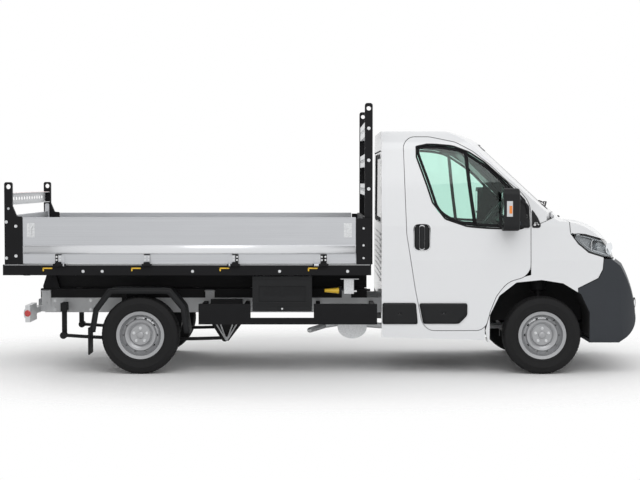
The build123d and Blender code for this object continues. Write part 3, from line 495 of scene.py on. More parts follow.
# Door handles: a black moulded cup let into the door skin, with a vertical
# pull bar across it and a lock barrel below.
x, z = fx(-1.140), 1.293
cup_half = (0.075, 0.121)
for hand, side in hands:
    body = f"door_{hand}"
    skin = Skin(body)
    corners = [(x + i * cup_half[0], z + j * cup_half[1]) for i, j in ((-1, -1), (1, -1), (1, 1), (-1, 1))]
    rim = dense(rounded(corners, 0.048), 0.02)
    cup = Piece()
    rows = [[skin.at(*p, side, 0.0015) or Vector((p[0], side * 1.012, p[1])) for p in grown(rim, 0.006)]]
    for reach, depth in ((0.0, 1.010), (-0.012, 0.999), (-0.030, 0.999)):
        rows.append([Vector((p[0], side * depth, p[1])) for p in (grown(rim, reach) if reach else rim)])
    cup.sheet([row + [row[0]] for row in rows])
    cup.block(x - 0.060, x + 0.060, side * 0.9985, side * 1.0015, z - 0.105, z + 0.105, 0.001)
    cup.done(f"handle_cup_{hand}", black_plastic, body)
    pull = Piece()
    pull.block(x - 0.024, x + 0.024, side * 1.003, side * 1.024, z - 0.108, z + 0.108, 0.009)
    pull.rod((x + 0.047, side * 1.001, z - 0.078), (x + 0.047, side * 1.008, z - 0.078), 0.009, 20)
    pull.done(f"handle_pull_{hand}", black_plastic, body)

# Side windows: toughened glass with a green tint, held in black rubber, with
# a black bar that parts the quarter light and a black panel at the mirror.
rubber_seal = Finish("rubber_seal", (0.006, 0.006, 0.007), 0.6, Specular_IOR_Level=0.2).vary(0.2, 20, 0.05)
rubber_seal.slot = "black_plastic"


def clear_glass(name, tint, gloss):
    """Thin clear glass: it lets light straight through and mirrors a little."""
    made = Finish(name, tint, 0.02)
    links, new = made.tree.links.new, made.tree.nodes.new
    kinds = ("BsdfTransparent", "BsdfGlossy", "MixShader")
    clear, mirror, both = (new(f"ShaderNode{kind}") for kind in kinds)
    clear.inputs["Color"].default_value = (*tint, 1)
    mirror.inputs["Roughness"].default_value = 0.015
    links(made.make("ShaderNodeFresnel", inputs={"IOR": gloss}).socket, both.inputs[0])
    links(clear.outputs[0], both.inputs[1])
    links(mirror.outputs[0], both.inputs[2])
    links(both.outputs[0], made.tree.nodes["Material Output"].inputs["Surface"])
    made.tree.nodes.remove(made.shader)
    return made


window_tint = clear_glass("window_tint", (0.84, 0.955, 0.915), 1.45)
coat(window_tint, "cab_glass", "door_glass_left", "door_glass_right")
window_outline = [
    (-1160, 2165), (-934, 2160), (-756, 2128), (-497, 1958), (-238, 1700), (-152, 1610),
    (-148, 1380), (-596, 1393), (-822, 1424), (-1000, 1530), (-1092, 1813), (-1205, 2120),
]
sail_outline = [
    (-345, 1806), (-238, 1700), (-152, 1615), (-128, 1586), (-124, 1384), (-420, 1384), (-412, 1500),
]
corner_outline = [(-106, 1560), (-106, 1384), (-34, 1384), (-20, 1404), (-44, 1470), (-80, 1528)]
quarter_line = [(-725, 2098), (-712, 1980), (-695, 1820), (-672, 1640), (-655, 1520), (-642, 1418)]
bar_half_width = 17
for hand, side in hands:
    body, pane = f"door_{hand}", f"door_glass_{hand}"
    skin = Skin(body, pane)
    edge = dense(rounded(ahead(window_outline), 0.10, 6), 0.03)
    # columns: piece, skin, inner and outer reach, lift, wall
    for part, under, inner, outer, lift, wall in (
        ("seal", Skin(body), 0.001, 0.017, 0.003, 0.005),
        ("lip", Skin(pane), -0.030, -0.004, 0.002, 0.0015),
    ):
        strip = Piece()
        band(strip, under, edge, inner, outer, side, lift)
        strip.done(f"window_{part}_{hand}", rubber_seal, body, thick=wall)
    bar = Piece()
    bar.sheet([[skin.at(*p, side, 0.006) for p in ahead([(x + reach, z) for x, z in quarter_line])]
               for reach in (-bar_half_width, 0, bar_half_width)])
    bar.done(f"quarter_bar_{hand}", rubber_seal, body, thick=0.005)
    sail = Piece()
    patch(sail, skin, dense(rounded(ahead(sail_outline), 0.02, 3), 0.03), side, 0.005, 6)
    sail.done(f"sail_panel_{hand}", black_plastic, body, thick=0.0045)
    corner = Piece()
    near_edge = dense(rounded(ahead(corner_outline), 0.02, 3), 0.02)
    patch(corner, Skin("front_wings", "cab_shell"), near_edge, side, 0.004, 4)
    corner.done(f"corner_panel_{hand}", black_plastic, "chassis", thick=0.0035)

# Windscreen and rear window: laminated glass bonded in, with the black band
# printed round its edge, and two wiper arms from the scuttle.
glass_tree = Skin("cab_glass").tree


def on_screen(y, z, lift=0.002):
    """The point on the windscreen at a width and height."""
    place = met(glass_tree, (fx(1.5), y, z), (-1, 0, 0))
    return None if place is None else place + Vector((lift, 0, lift))


def on_rear_window(y, z, lift=-0.002):
    """The point on the rear window at a width and height."""
    place = met(glass_tree, (fx(-2.2), y, z), (1, 0, 0))
    return None if place is None or place.x > fx(-1.3) else place + Vector((lift, 0, 0))


# columns: piece, way to the glass, half widths and heights of its foot and head, band's reaches
for name, finder, foot, head, widths in (
    ("screen_band", on_screen, (0.835, 1.548), (0.655, 2.175), (0.006, 0.030, 0.055)),
    ("rear_window_band", on_rear_window, (0.760, 1.420), (0.640, 2.090), (0.004, 0.025, 0.045)),
):
    frit = Piece()
    edge = dense(rounded([(-foot[0], foot[1]), foot, head, (-head[0], head[1])], 0.06, 4), 0.06)
    frit.sheet(rings_of([[finder(y, z) for y, z in grown(edge, -width)] for width in widths]))
    frit.done(name, rubber_seal, "chassis", "black_plastic")

wipers = Piece()
# columns: pivot's width, blade's foot and head widths, their heights
for pivot_y, foot_y, head_y, foot_z, head_z in (
    (-0.10, -0.16, -0.74, 1.585, 1.625),
    (0.52, 0.46, -0.06, 1.580, 1.600),
):
    pivot = on_screen(pivot_y, 1.556, 0.0)
    pivot = Vector((pivot.x - 0.01, pivot_y, pivot.z - 0.012))
    run = [on_screen(*between((foot_y, foot_z), (head_y, head_z), i / 10), 0.012) for i in range(11)]
    for a, b in zip(run, run[1:]):
        wipers.rod(a, b, 0.0065, 8)
    elbow = on_screen((pivot_y + run[5].y) / 2, (1.56 + run[5].z) / 2, 0.03)
    wipers.rod(pivot, elbow, 0.009, 10, 0.007)
    wipers.rod(elbow, run[5] + Vector((0.006, 0, 0.006)), 0.007, 10, 0.005)
    wipers.rod(pivot - Vector((0.012, 0, 0.012)), pivot + Vector((0.018, 0, 0.018)), 0.014, 16, 0.010)
wipers.done("wipers", black_plastic, "chassis")

# Mirrors: a tall moulded housing on two short arms, with a white lamp window
# and an orange bulb in its outer face and two glasses behind.
mirror_glass = Finish("mirror_glass", (0.86, 0.88, 0.89), 0.03, 1.0)
clear_cover = clear_glass("clear_cover", (0.93, 0.95, 0.96), 1.45)
orange_lens = Finish("orange_lens", (0.85, 0.24, 0.02), 0.2, Coat_Weight=0.8).vary(0.1, 90, 0.05)
pale_plastic = Finish("pale_plastic", (0.62, 0.63, 0.64), 0.35).vary(0.05, 30, 0.05)
for hand, side in hands:
    body = f"door_{hand}"
    low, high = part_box(f"mirror_{hand}")
    face = high.y if side > 0 else low.y
    back = low.x
    middle_y = side * 1.165
    lamp = Piece()
    lamp.block(back + 0.020, back + 0.086, face - side * 0.012, face + side * 0.0025, 1.490, 1.645, 0.006)
    lamp.done(f"mirror_lamp_{hand}", pale_plastic, body)
    bulb = Piece()
    bulb.block(back + 0.044, back + 0.079, face - side * 0.010, face + side * 0.0035, 1.52, 1.60, 0.004)
    bulb.done(f"mirror_indicator_{hand}", orange_lens, body)
    glasses = Piece()
    for bottom, top in ((1.500, 1.715), (1.400, 1.482)):
        glasses.block(back - 0.0001, back + 0.004, middle_y - 0.078, middle_y + 0.078, bottom, top, 0.002)
    glasses.done(f"mirror_glass_{hand}", mirror_glass, body)
    arms = Piece()
    for height in (1.44, 1.67):
        seat = Skin(body, f"door_glass_{hand}").at(back + 0.190, height - 0.02, side, -0.002)
        arms.rod((back + 0.152, side * 1.10, height), seat, 0.019, 18, 0.015)
        arms.rod((back + 0.128, side * 1.16, height), (back + 0.154, side * 1.10, height), 0.021, 18)
    arms.done(f"mirror_arms_{hand}", grained_plastic, body, "black_plastic")

# Headlamps: a clear moulded cover over a grey bezel, with two chromed bowls
# and a bright running strip along the foot.
coat(clear_cover, "headlamps")
chrome_bowl = Finish("chrome_bowl", (0.80, 0.82, 0.84), 0.12, 1.0)
bezel_grey = Finish("bezel_grey", (0.34, 0.35, 0.36), 0.22, 0.6).vary(0.2, 20, 0.05)
strip_white = Finish("strip_white", (0.83, 0.85, 0.87), 0.15, Coat_Weight=0.6)
strip_white.vary(0.02, 60, 0.03)
lamp_outline = [(256, 1329), (391, 1320), (631, 1253), (774, 1094), (568, 1109), (429, 1152), (332, 1232)]
strip_foot = [(345, 1236), (440, 1166), (575, 1126), (742, 1108)]
strip_top = [(366, 1252), (452, 1186), (580, 1144), (735, 1124)]
lamp_skin = Skin("headlamps")
for hand, side in hands:
    edge = dense(rounded(grown(ahead(lamp_outline), -0.010), 0.02, 3), 0.03)
    bezel = Piece()
    patch(bezel, lamp_skin, edge, side, -0.062, 5)
    bezel.done(f"lamp_bezel_{hand}", bezel_grey, "chassis", thick=0.002)
    trim = Piece()
    band(trim, lamp_skin, edge, -0.016, 0.000, side, -0.004)
    trim.done(f"lamp_edge_{hand}", bezel_grey, "chassis", thick=0.004)
    bowls = Piece()
    aim = Vector((0.75, side * 0.66, 0.0)).normalized()
    for x, z, size in ((0.455, 1.215, 0.066), (0.590, 1.190, 0.058)):
        centre = lamp_skin.at(fx(x), z, side, -0.060)
        dish = [(size * r, 0.012 + 0.036 * r * r) for r in (0.12, 0.35, 0.6, 0.8, 1.0)]
        bowls.turned(dish + [(size * 1.06, 0.046)], centre, aim, 36)
        bowls.turned([(0.012, 0.010), (0.012, 0.030), (0.004, 0.036)], centre, aim, 16)
    bowls.done(f"lamp_bowls_{hand}", chrome_bowl, "chassis", flat_angle=50)
    strip = Piece()
    rows = []
    for line in (strip_foot, strip_top):
        rows.append([lamp_skin.at(fx(x / 1000), z / 1000, side, -0.014)
                     or lamp_skin.at(fx((x - 12) / 1000), z / 1000, side, -0.014)
                     for x, z in dense(line, 30, closed=False)[:14]])
    strip.sheet(rows)
    strip.done(f"lamp_strip_{hand}", strip_white, "chassis", thick=0.006)

# Bumper: one grained moulding with a bright lip under each lamp, a plain
# recess for a plate, round parking sensors and fog lamps in dark bezels.
bumper_tree = Skin("front_bumper").tree


def on_nose(y, z, lift=0.0):
    """The point on the bumper's front at a width and height."""
    place = met(bumper_tree, (fx(1.5), y, z), (-1, 0, 0))
    return None if place is None or place.x < fx(0.4) else place + Vector((lift, 0, 0))


plate = Piece()
plate_heights = (0.578, 0.600, 0.630, 0.660, 0.676)
plate.sheet([[on_nose(y / 1000, z, 0.004) for y in range(-260, 261, 40)] for z in plate_heights])
plate.done("plate_front", pale_plastic, "chassis", thick=0.004)
sensors = Piece()
for y, z in ((-0.72, 0.62), (-0.28, 0.565), (0.28, 0.565), (0.72, 0.62)):
    face = on_nose(y, z)
    if face is not None:
        cap = [(0.001, 0.004), (0.009, 0.0035), (0.0115, 0.001), (0.012, -0.004)]
        sensors.turned(cap, face, (1, y * 0.35, 0), 20)
sensors.done("nose_sensors", black_plastic, "chassis")
lips = Piece()
for _, side in hands:
    rows = [[on_nose(side * y / 1000, z, 0.003) for y in range(330, 961, 45)] for z in (1.078, 1.088)]
    rows = [[p for p in row if p is not None] for row in rows]
    count = min(len(row) for row in rows)
    lips.sheet([row[:count] for row in rows])
lips.done("lamp_lips", strip_white, "chassis", thick=0.003)
fog_lamps, fog_rims = Piece(), Piece()
fog_lens = [(0.001, 0.008), (0.025, 0.006), (0.040, 0.001), (0.041, -0.004)]
fog_rim = [(0.041, -0.004), (0.041, 0.004), (0.046, 0.006), (0.052, 0.004), (0.054, -0.004)]
for _, side in hands:
    face = on_nose(side * 0.80, 0.66)
    if face is not None:
        fog_lamps.turned(fog_lens, face, (0.93, side * 0.36, 0), 32)
        fog_rims.turned(fog_rim, face, (0.93, side * 0.36, 0), 32)
fog_lamps.done("fog_lamps", chrome_bowl, "chassis")
fog_rims.done("fog_rims", black_plastic, "chassis")

# Bonnet: pressed steel in the cab's white paint, with a raised centre panel
# between two soft ribs and two black plastic washer jets let into it.
bonnet_tree = Skin("bonnet").tree


def on_bonnet(x, y):
    """The point on the bonnet at a station and width, and which way it faces."""
    return bonnet_tree.ray_cast(Vector((x, y, 2.5)), Vector((0, 0, -1)))[:2]


ribs = Piece()
rib_steps = 14
for _, side in hands:
    rows = []
    for k, lift in enumerate((-0.003, 0.005, 0.007, 0.005, -0.003)):
        row = []
        for i in range(rib_steps + 1):
            share = i / rib_steps
            width = side * (0.560 - 0.10 * share) + (k - 2) * 0.014
            place, normal = on_bonnet(fx(0.235 + 0.50 * share), width)
            row.append(place + normal * (lift if 0 < i < rib_steps else -0.004))
        rows.append(row)
    ribs.sheet(rows)
ribs.done("bonnet_ribs", white_paint, "bonnet", "white_paint")
jets = Piece()
for y in (-0.32, 0.32):
    jets.turned([(0.013, -0.004), (0.013, 0.006), (0.008, 0.012), (0.001, 0.013)],
                *on_bonnet(fx(0.25), y), 16)
jets.done("washer_jets", black_plastic, "bonnet")

# Wheel arches: black felted plastic liners clipped inside the wings and
# sills, which hide the engine bay behind the front wheels.
arch_liner = Finish("arch_liner", (0.010, 0.010, 0.011), 0.85).vary(0.25, 25, 0.1)
arch_line = [
    (-512, 350), (-505, 560), (-415, 752), (-255, 878), (-13, 902), (192, 870), (366, 766), (450, 592),
    (452, 352),
]
arch = dense(ahead(arch_line), 0.05, closed=False)
for hand, side in hands:
    liner = Piece()
    rows = []
    # columns: width, how far it draws in
    for y, shrink in ((1.000, 0.012), (0.985, 0.006), (0.80, 0.006), (0.62, 0.006), (0.545, 0.006)):
        rows.append([(fx(0) + (x - fx(0)) * (1 - shrink), side * y, z - 0.006 * (z > 0.5)) for x, z in arch])
    liner.sheet(rows)
    liner.sheet([rows[-1], [(x, y, min(z, 0.47)) for x, y, z in rows[-1]]])
    liner.done(f"arch_liner_{hand}", arch_liner, "chassis", "black_plastic", thick=0.003)

# Cab back: the pressed rear panel is ribbed below its window, and a black
# rubber drip strip runs over the glass.
back_ribs = Piece()
back_x = fx(-1.518)
for i in range(9):
    z = 0.86 + 0.055 * i
    back_ribs.block(back_x - 0.0065, back_x + 0.002, -0.70, 0.70, z, z + 0.026, 0.004)
back_ribs.done("cab_back_ribs", white_paint, "chassis", "white_paint")
drip = Piece()
drip.block(back_x - 0.008, back_x + 0.002, -0.66, 0.66, 2.105, 2.118, 0.003)
drip.done("drip_strip", rubber_seal, "chassis")

# Load bed: extruded aluminium boards, anodised to a soft sheen, with faint
# draw lines along their length and light scuffs. Each hangs on four black
# straps, with a yellow rope hook behind each on the side rail below.
def drawn_metal(name, stretch):
    made = Finish(name, (0.50, 0.51, 0.53), 0.30, 0.75)
    lines = made.noise(26, 4.0, stretch)
    scuffs = made.noise(5, 5.0)
    made.feed("Base Color", made.blend((0.45, 0.46, 0.48), (0.56, 0.57, 0.59), lines))
    made.feed("Roughness", lines * 0.10 + scuffs * 0.16 + 0.24)
    made.raise_by(lines, 0.12, 0.0006)
    return made


board_metal = drawn_metal("board_metal", (0.04, 5, 5))
coat(board_metal, "dropside_left", "dropside_right")
tail_metal = drawn_metal("tail_metal", (5, 0.04, 5))
# A lighter copy of the board aluminium for the convex band: a painted highlight along its curve.
highlight_band_metal = Finish("highlight_band_metal", (0.74, 0.75, 0.77), 0.24, 0.6).vary(0.04, 3, 0.04, (0.05, 4, 4))
coat(tail_metal, "tailboard")
yellow_enamel = Finish("yellow_enamel", (0.86, 0.55, 0.03), 0.35, Coat_Weight=0.3).vary(0.06, 40, 0.06)

strap_stations = [fx(-4.561), fx(-3.728), fx(-2.897), fx(-2.066)]
board_face = 1.018
band_low, band_tall, band_bulge = 1.137, 0.087, 0.0085
for hand, side in hands:
    body = f"dropside_{hand}"
    low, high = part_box(body)
    seams = Piece()
    # columns: bottom, top, depth behind the face of its back and front, bevel
    for z0, z1, back, front, bevel in (
        (1.246, 1.2495, 0.0035, 0.0018, 0.0005),
        (1.302, 1.3055, 0.0035, 0.0018, 0.0005),
        (1.376, 1.3795, 0.0035, 0.0018, 0.0005),
        (1.472, 1.4835, 0.010, 0.001, 0.003),
        (1.075, 1.080, 0.0045, 0.0022, 0.0005),
    ):
        seams.block(low.x + 0.002, high.x - 0.002, side * (board_face - back), side * (board_face - front),
                    z0, z1, bevel)
    seams.done(f"board_ribs_{hand}", board_metal, body, "board_aluminium")
    fixings = Piece()
    for station in strap_stations:
        for reach in (-0.017, 0.017):
            for height in (1.082, 1.112):
                bolt(fixings, side, (station + reach, 1.022, height), 0.0065, 0.0065, 0.0095, 0.0025)
    for x in (low.x + 0.075, high.x - 0.075):
        fixings.block(x - 0.038, x + 0.038, side * 1.013, side * 1.019, 1.295, 1.430, 0.004)
        fixings.rod((x, side * 1.017, 1.395), (x, side * 1.031, 1.395), 0.015, 18)
        fixings.block(x - 0.008, x + 0.008, side * 1.021, side * 1.030, 1.308, 1.398, 0.004)
    fixings.done(f"board_bolts_{hand}", zinc, body)
    straps = Piece()
    for x in strap_stations:
        straps.block(x - 0.030, x + 0.030, side * 1.0165, side * 1.0225, 1.062, 1.136, 0.002)
        straps.block(x - 0.031, x + 0.031, side * 1.0165, side * 1.0585, 1.034, 1.064, 0.006)
        straps.rod((x - 0.046, side * 1.045, 1.035), (x + 0.046, side * 1.045, 1.035), 0.0135, 20)
    straps.done(f"hinge_straps_{hand}", black_enamel, body)
    # The convex band along each board, in the lighter aluminium: a painted highlight on its curve.
    convex = Piece()
    rows = []
    for k in range(9):
        y = side * (board_face + band_bulge * (1 - (2 * k / 8 - 1) ** 2) - 0.001)
        z = band_low + band_tall * k / 8
        rows.append([(low.x + 0.003, y, z), (high.x - 0.003, y, z)])
    convex.sheet(rows)
    convex.done(f"board_band_highlight_{hand}", highlight_band_metal, body, "board_aluminium", thick=0.002)
    hooks = Piece()
    for station in strap_stations:
        x = station - 0.102
        hooks.block(x - 0.046, x + 0.046, side * 1.0175, side * 1.0315, 0.9985, 1.0105, 0.003)
        hooks.block(x - 0.046, x - 0.034, side * 1.0175, side * 1.0315, 0.976, 1.008, 0.003)
        hooks.rod((x + 0.03, side * 1.016, 1.0045), (x + 0.03, side * 1.034, 1.0045), 0.006, 14)
    hooks.done(f"rope_hooks_{hand}", yellow_enamel, "bed")
    rave_bolts = Piece()
    for station in (-4.33, -4.15, -3.30, -2.48, -1.84):
        bolt(rave_bolts, side, (fx(station), 1.017, 0.975), 0.009, 0.009, 0.014)
    rave_bolts.block(fx(-5.07), fx(-1.63), side * 1.014, side * 1.0195, 1.0335, 1.0375, 0.001)
    rave_bolts.done(f"rave_bolts_{hand}", zinc, "bed")

# Tailboard: aluminium boards like the sides, ribbed across. It hangs from
# its top pins, and two black steel catches hold its foot.
tail_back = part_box("tailboard")[0].x
tail_ribs = Piece()
for z in (1.10, 1.19, 1.28, 1.37, 1.46):
    tail_ribs.block(tail_back + 0.0085, tail_back + 0.0115, -0.955, 0.955, z, z + 0.012, 0.001)
tail_ribs.done("tailboard_ribs", tail_metal, "tailboard", "board_aluminium")
catches = Piece()
for _, side in hands:
    catches.block(tail_back - 0.001, tail_back + 0.012, side * 0.885, side * 0.945, 1.065, 1.125, 0.004)
    catches.rod((tail_back - 0.004, side * 0.915, 1.095), (tail_back + 0.012, side * 0.915, 1.095), 0.014, 20)
catches.done("tailboard_catches", black_enamel, "tailboard")

# Ladder bar and posts: a band of faded red and pale tape along the bar, and
# zinc bolts through the posts and their corner boxes.
tape_pink = Finish("tape_pink", (0.72, 0.40, 0.36), 0.45)
stripes = tape_pink.make("ShaderNodeTexWave", {"wave_type": "BANDS", "bands_direction": "DIAGONAL"},
                         {"Vector": tape_pink.place((0, 1, 1)), "Scale": 2.6, "Distortion": 0.0})
tape_pink.feed("Base Color", tape_pink.blend((0.66, 0.22, 0.19), (0.76, 0.62, 0.60), stripes > 0.5))
bar_low, bar_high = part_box("ladder_bar")
tape = Piece()
tape_y = (bar_low.y + 0.01, bar_high.y - 0.01)
tape.block(bar_low.x - 0.0012, bar_low.x + 0.001, *tape_y, 1.676, 1.706, 0.0004)
tape.block(bar_low.x + 0.001, bar_high.x - 0.001, *tape_y, bar_high.z - 0.001, bar_high.z + 0.0008, 0.0004)
tape.done("ladder_bar_tape", tape_pink, "bed")
post_bolts = Piece()
for _, side in hands:
    for x, z in ((rx(-1.16), 1.40), (rx(-1.16), 1.12), (rx(-1.25), 1.10), (rx(-1.25), 1.44)):
        bolt(post_bolts, side, (x, 1.017, z), 0.010, 0.008, 0.015)
    for z in (1.75, 2.02, 2.32):
        bolt(post_bolts, side, (fx(-1.641), 0.974, z), 0.010, 0.009, 0.016)
    for z in (1.10, 1.22, 1.38):
        bolt(post_bolts, side, (fx(-1.69), 1.017, z), 0.011, 0.009)
post_bolts.done("post_bolts", zinc, "bed")

# Ram: a black enamelled steel barrel that swings in its cradle under the
# bed, with two ground steel stages that slide out of it.
ground_steel = Finish("ground_steel", (0.62, 0.63, 0.64), 0.18, 1.0).vary(0.05, 60, 0.04)
coat(ground_steel, "ram_stage_1", "ram_stage_2")
coat(black_enamel, "ram_barrel")

# Wheels: pressed steel discs in silver with five bolts, a centre cap and a valve,
# with black discs in the vents as painted shade from behind the disc, in road
# tyres with ribs, grooves and a cut shoulder.
wheel_silver = Finish("wheel_silver", (0.36, 0.365, 0.375), 0.30, 0.55, Coat_Weight=0.3)
wheel_silver.vary(0.04, 18, 0.05)
tyre_rubber = Finish("tyre_rubber", (0.010, 0.010, 0.0105), 0.75, Specular_IOR_Level=0.25)
tyre_rubber.vary(0.25, 9, 0.08)
tyre_rubber.raise_by(tyre_rubber.noise(420, 2.0), 0.15, 0.0005)
tread_steps = 288
bolt_circle = 0.065
disc_face = 0.0690
vent_circle = 0.163
valve_circle = 0.176
valve_angle = 0.9


def tread_depth(out, step):
    """How far a point of the tread lies below the road surface."""
    if any(abs(out - middle) < 0.0055 for middle in (-0.047, -0.016, 0.016, 0.047)):
        return 0.008
    if abs(out) > 0.054 and step % 4 == 0:
        return 0.006
    return 0.003 if abs(out) < 0.012 and (step + (2 if out > 0 else 0)) % 6 == 0 else 0.0


# radius and half width of the side wall, from the bead out
side_wall = [
    (0.2035, 0.0755), (0.2100, 0.0790), (0.2270, 0.0815), (0.2300, 0.0925), (0.2420, 0.0985),
    (0.2440, 0.1005), (0.2480, 0.1005), (0.2500, 0.0995), (0.2800, 0.1085), (0.3000, 0.1123),
    (0.3020, 0.1131), (0.3050, 0.1131), (0.3070, 0.1120), (0.3300, 0.1083), (0.3420, 0.1040),
    (0.3530, 0.0975),
]
# radius and half width of the tread, from the shoulder in
tread_line = [(0.3565, 0.0880), (0.3645, 0.0745)]
tread_line += [(0.367, out) for out in (0.0640, 0.0540, 0.0526, 0.0524, 0.0416, 0.0414, 0.0216, 0.0214,
                                        0.0106, 0.0104, 0.0)]
half_line = [(r, out, False) for r, out in side_wall] + [(r, out, True) for r, out in tread_line]
tyre_line = half_line + [(r, -out, worn) for r, out, worn in reversed(half_line[:-1])]


def around(centre, radius, angle, out):
    """A point at a radius and angle of a wheel, a way along its axle from its middle."""
    return centre + Vector((radius * cos(angle), out, radius * sin(angle)))


for wheel in ("front_left", "front_right", "rear_left", "rear_right"):
    side = 1 if wheel.endswith("left") else -1
    low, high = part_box(f"tyre_{wheel}")
    centre = (low + high) / 2
    body = f"wheel_{wheel}"
    coat(wheel_silver, f"rim_{wheel}")
    tyre = Piece()
    rings = []
    for i in range(tread_steps):
        angle = 2 * pi * i / tread_steps
        ring = []
        for r, out, worn in tyre_line:
            reach = r - (tread_depth(out, i) if worn else 0.0)
            ring.append(tyre.mesh.verts.new(around(centre, reach, angle, out)))
        rings.append(ring)
    for here, there in zip(rings, rings[1:] + rings[:1]):
        for k in range(len(tyre_line) - 1):
            tyre.mesh.faces.new((here[k], here[k + 1], there[k + 1], there[k]))
        tyre.mesh.faces.new((here[-1], here[0], there[0], there[-1]))
    made = tyre.done(f"tyre_tread_{wheel}", tyre_rubber, body, "tyre_rubber", flat_angle=30)
    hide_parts(f"tyre_{wheel}")
    outward = (0, side, 0)
    fittings = Piece()
    for i in range(5):
        seat = around(centre, bolt_circle, 2 * pi * i / 5 + pi / 2, side * disc_face)
        fittings.turned([(0.0155, -0.001), (0.0150, 0.004), (0.0125, 0.006)], seat, outward, 20)
        fittings.rod(seat, seat + Vector((0, side * 0.016, 0)), 0.0105, 6, 0.0095)
    fittings.done(f"wheel_bolts_{wheel}", zinc, body)
    cap = Piece()
    cap.turned([(0.0345, -0.012), (0.0345, 0.004), (0.031, 0.009), (0.022, 0.012), (0.001, 0.013)],
               around(centre, 0.0, 0.0, side * disc_face), outward, 32)
    cap.done(f"hub_cap_{wheel}", wheel_silver, body, "wheel_paint")
    # Black discs set in each vent: painted shade, for the dark that shows through the holes from behind the
    # disc.
    vent_shadows = Piece()
    for i in range(10):
        seat = around(centre, vent_circle, 2 * pi * (i + 0.5) / 10, side * 0.0285)
        vent_shadows.turned([(0.0175, -0.004), (0.0175, 0.0015), (0.001, 0.0016)], seat, outward, 20)
    vent_shadows.done(f"wheel_vent_shadows_{wheel}", rubber_seal, body, "black_paint")
    valve = Piece()
    valve.rod(around(centre, valve_circle, valve_angle, side * 0.058),
              around(centre, valve_circle + 0.012, valve_angle, side * 0.086), 0.0045, 12, 0.0035)
    valve.done(f"tyre_valve_{wheel}", rubber_seal, body)

# Mudguards: a skirt moulded in the same black plastic hangs from the outer
# edge of each one, over the top of the tyre.
skirt_outer = [
    (-0.475, 0.395), (-0.436, 0.626), (-0.293, 0.8175), (0.293, 0.8175), (0.436, 0.646), (0.475, 0.385),
]
skirt_inner = [
    (-0.418, 0.400), (-0.385, 0.600), (-0.262, 0.762), (0.262, 0.762), (0.385, 0.615), (0.418, 0.390),
]
for hand, side in hands:
    runs = []
    for line in (skirt_outer, skirt_inner):
        run = [between(a, b, k / 6) for a, b in zip(line, line[1:]) for k in range(6)] + [line[-1]]
        runs.append([(rx(x), side * 1.0125, z) for x, z in run])
    Piece().sheet(runs).done(f"mudguard_skirt_{hand}", black_plastic, "chassis", thick=0.004)

# Rear end: a lamp box each side with round red, orange and clear lenses, red
# side reflectors, and a blank plate between the boxes.
red_lens = Finish("red_lens", (0.50, 0.012, 0.010), 0.18, Coat_Weight=0.8)
red_lens.vary(0.08, 140, 0.04)
coat(pale_plastic, "rear_lamps")
dome = [(0.047, -0.002), (0.047, 0.010), (0.043, 0.016), (0.030, 0.021), (0.015, 0.023), (0.001, 0.0235)]
for hand, side in hands:
    # columns: width, finish, colour, material slot
    for y, finish, colour, slot in (
        (0.700, red_lens, "red", "tail_lens"),
        (0.810, orange_lens, "orange", None),
        (0.915, pale_plastic, "clear", None),
    ):
        lens = Piece()
        centre = (rx(-1.0850), side * y, 0.570)
        lens.turned(dome, centre, (-1, 0, 0), 40)
        for k in range(3):
            radius, low, high = 0.012 + 0.010 * k, 0.0205 - 0.003 * k, 0.0255 - 0.0035 * k
            ridge = [(radius, low), (radius + 0.0015, high), (radius + 0.003, low)]
            lens.turned(ridge, centre, (-1, 0, 0), 40)
        lens.done(f"tail_lens_{colour}_{hand}", finish, "chassis", slot)
marker = Piece()
for _, side in hands:
    marker.turned([(0.030, -0.001), (0.030, 0.004), (0.025, 0.007), (0.001, 0.0075)],
                  (rx(-1.062), side * 0.980, 0.575), (0, side, 0), 28)
marker.done("side_reflectors", red_lens, "chassis", "tail_lens")
rear_plate = Piece()
rear_plate.block(rx(-1.096), rx(-1.091), -0.26, 0.26, 0.535, 0.645, 0.002)
rear_plate.block(rx(-1.0915), rx(-1.085), -0.28, 0.28, 0.52, 0.655, 0.002)
rear_plate.done("plate_rear", pale_plastic, "chassis")

# Toolbox: a moulded black plastic box on the chassis, with a ribbed panel
# let into its lid, pressed lines across it and a zinc latch.
toolbox_low, toolbox_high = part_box("toolbox")
front = toolbox_low.y
panel_face = front + 0.012
lid = Piece()
for i in (0, 1, 2, 3, 4, 5, 7, 8, 9, 10, 11, 12):
    x = fx(-2.628) + 0.0285 * i
    lid.block(x, x + 0.014, panel_face - 0.0065, panel_face + 0.002, 0.745, 0.862, 0.003)
lid.block(fx(-2.470), fx(-2.446), panel_face - 0.009, panel_face + 0.002, 0.738, 0.868, 0.003)
for z, inset in ((0.640, 0.02), (0.662, 0.02), (0.893, 0.012)):
    lid.block(toolbox_low.x + inset, toolbox_high.x - inset, front - 0.0025, front + 0.002,
              z, z + 0.006, 0.001)
lid.block(fx(-2.50), fx(-2.415), front - 0.008, front + 0.002, 0.606, 0.634, 0.004)
lid.done("toolbox_lid", black_plastic, "chassis")
latch = Piece()
latch.rod((fx(-2.4575), front - 0.0125, 0.620), (fx(-2.4575), front - 0.004, 0.620), 0.009, 20)
latch.done("toolbox_latch", zinc, "chassis")

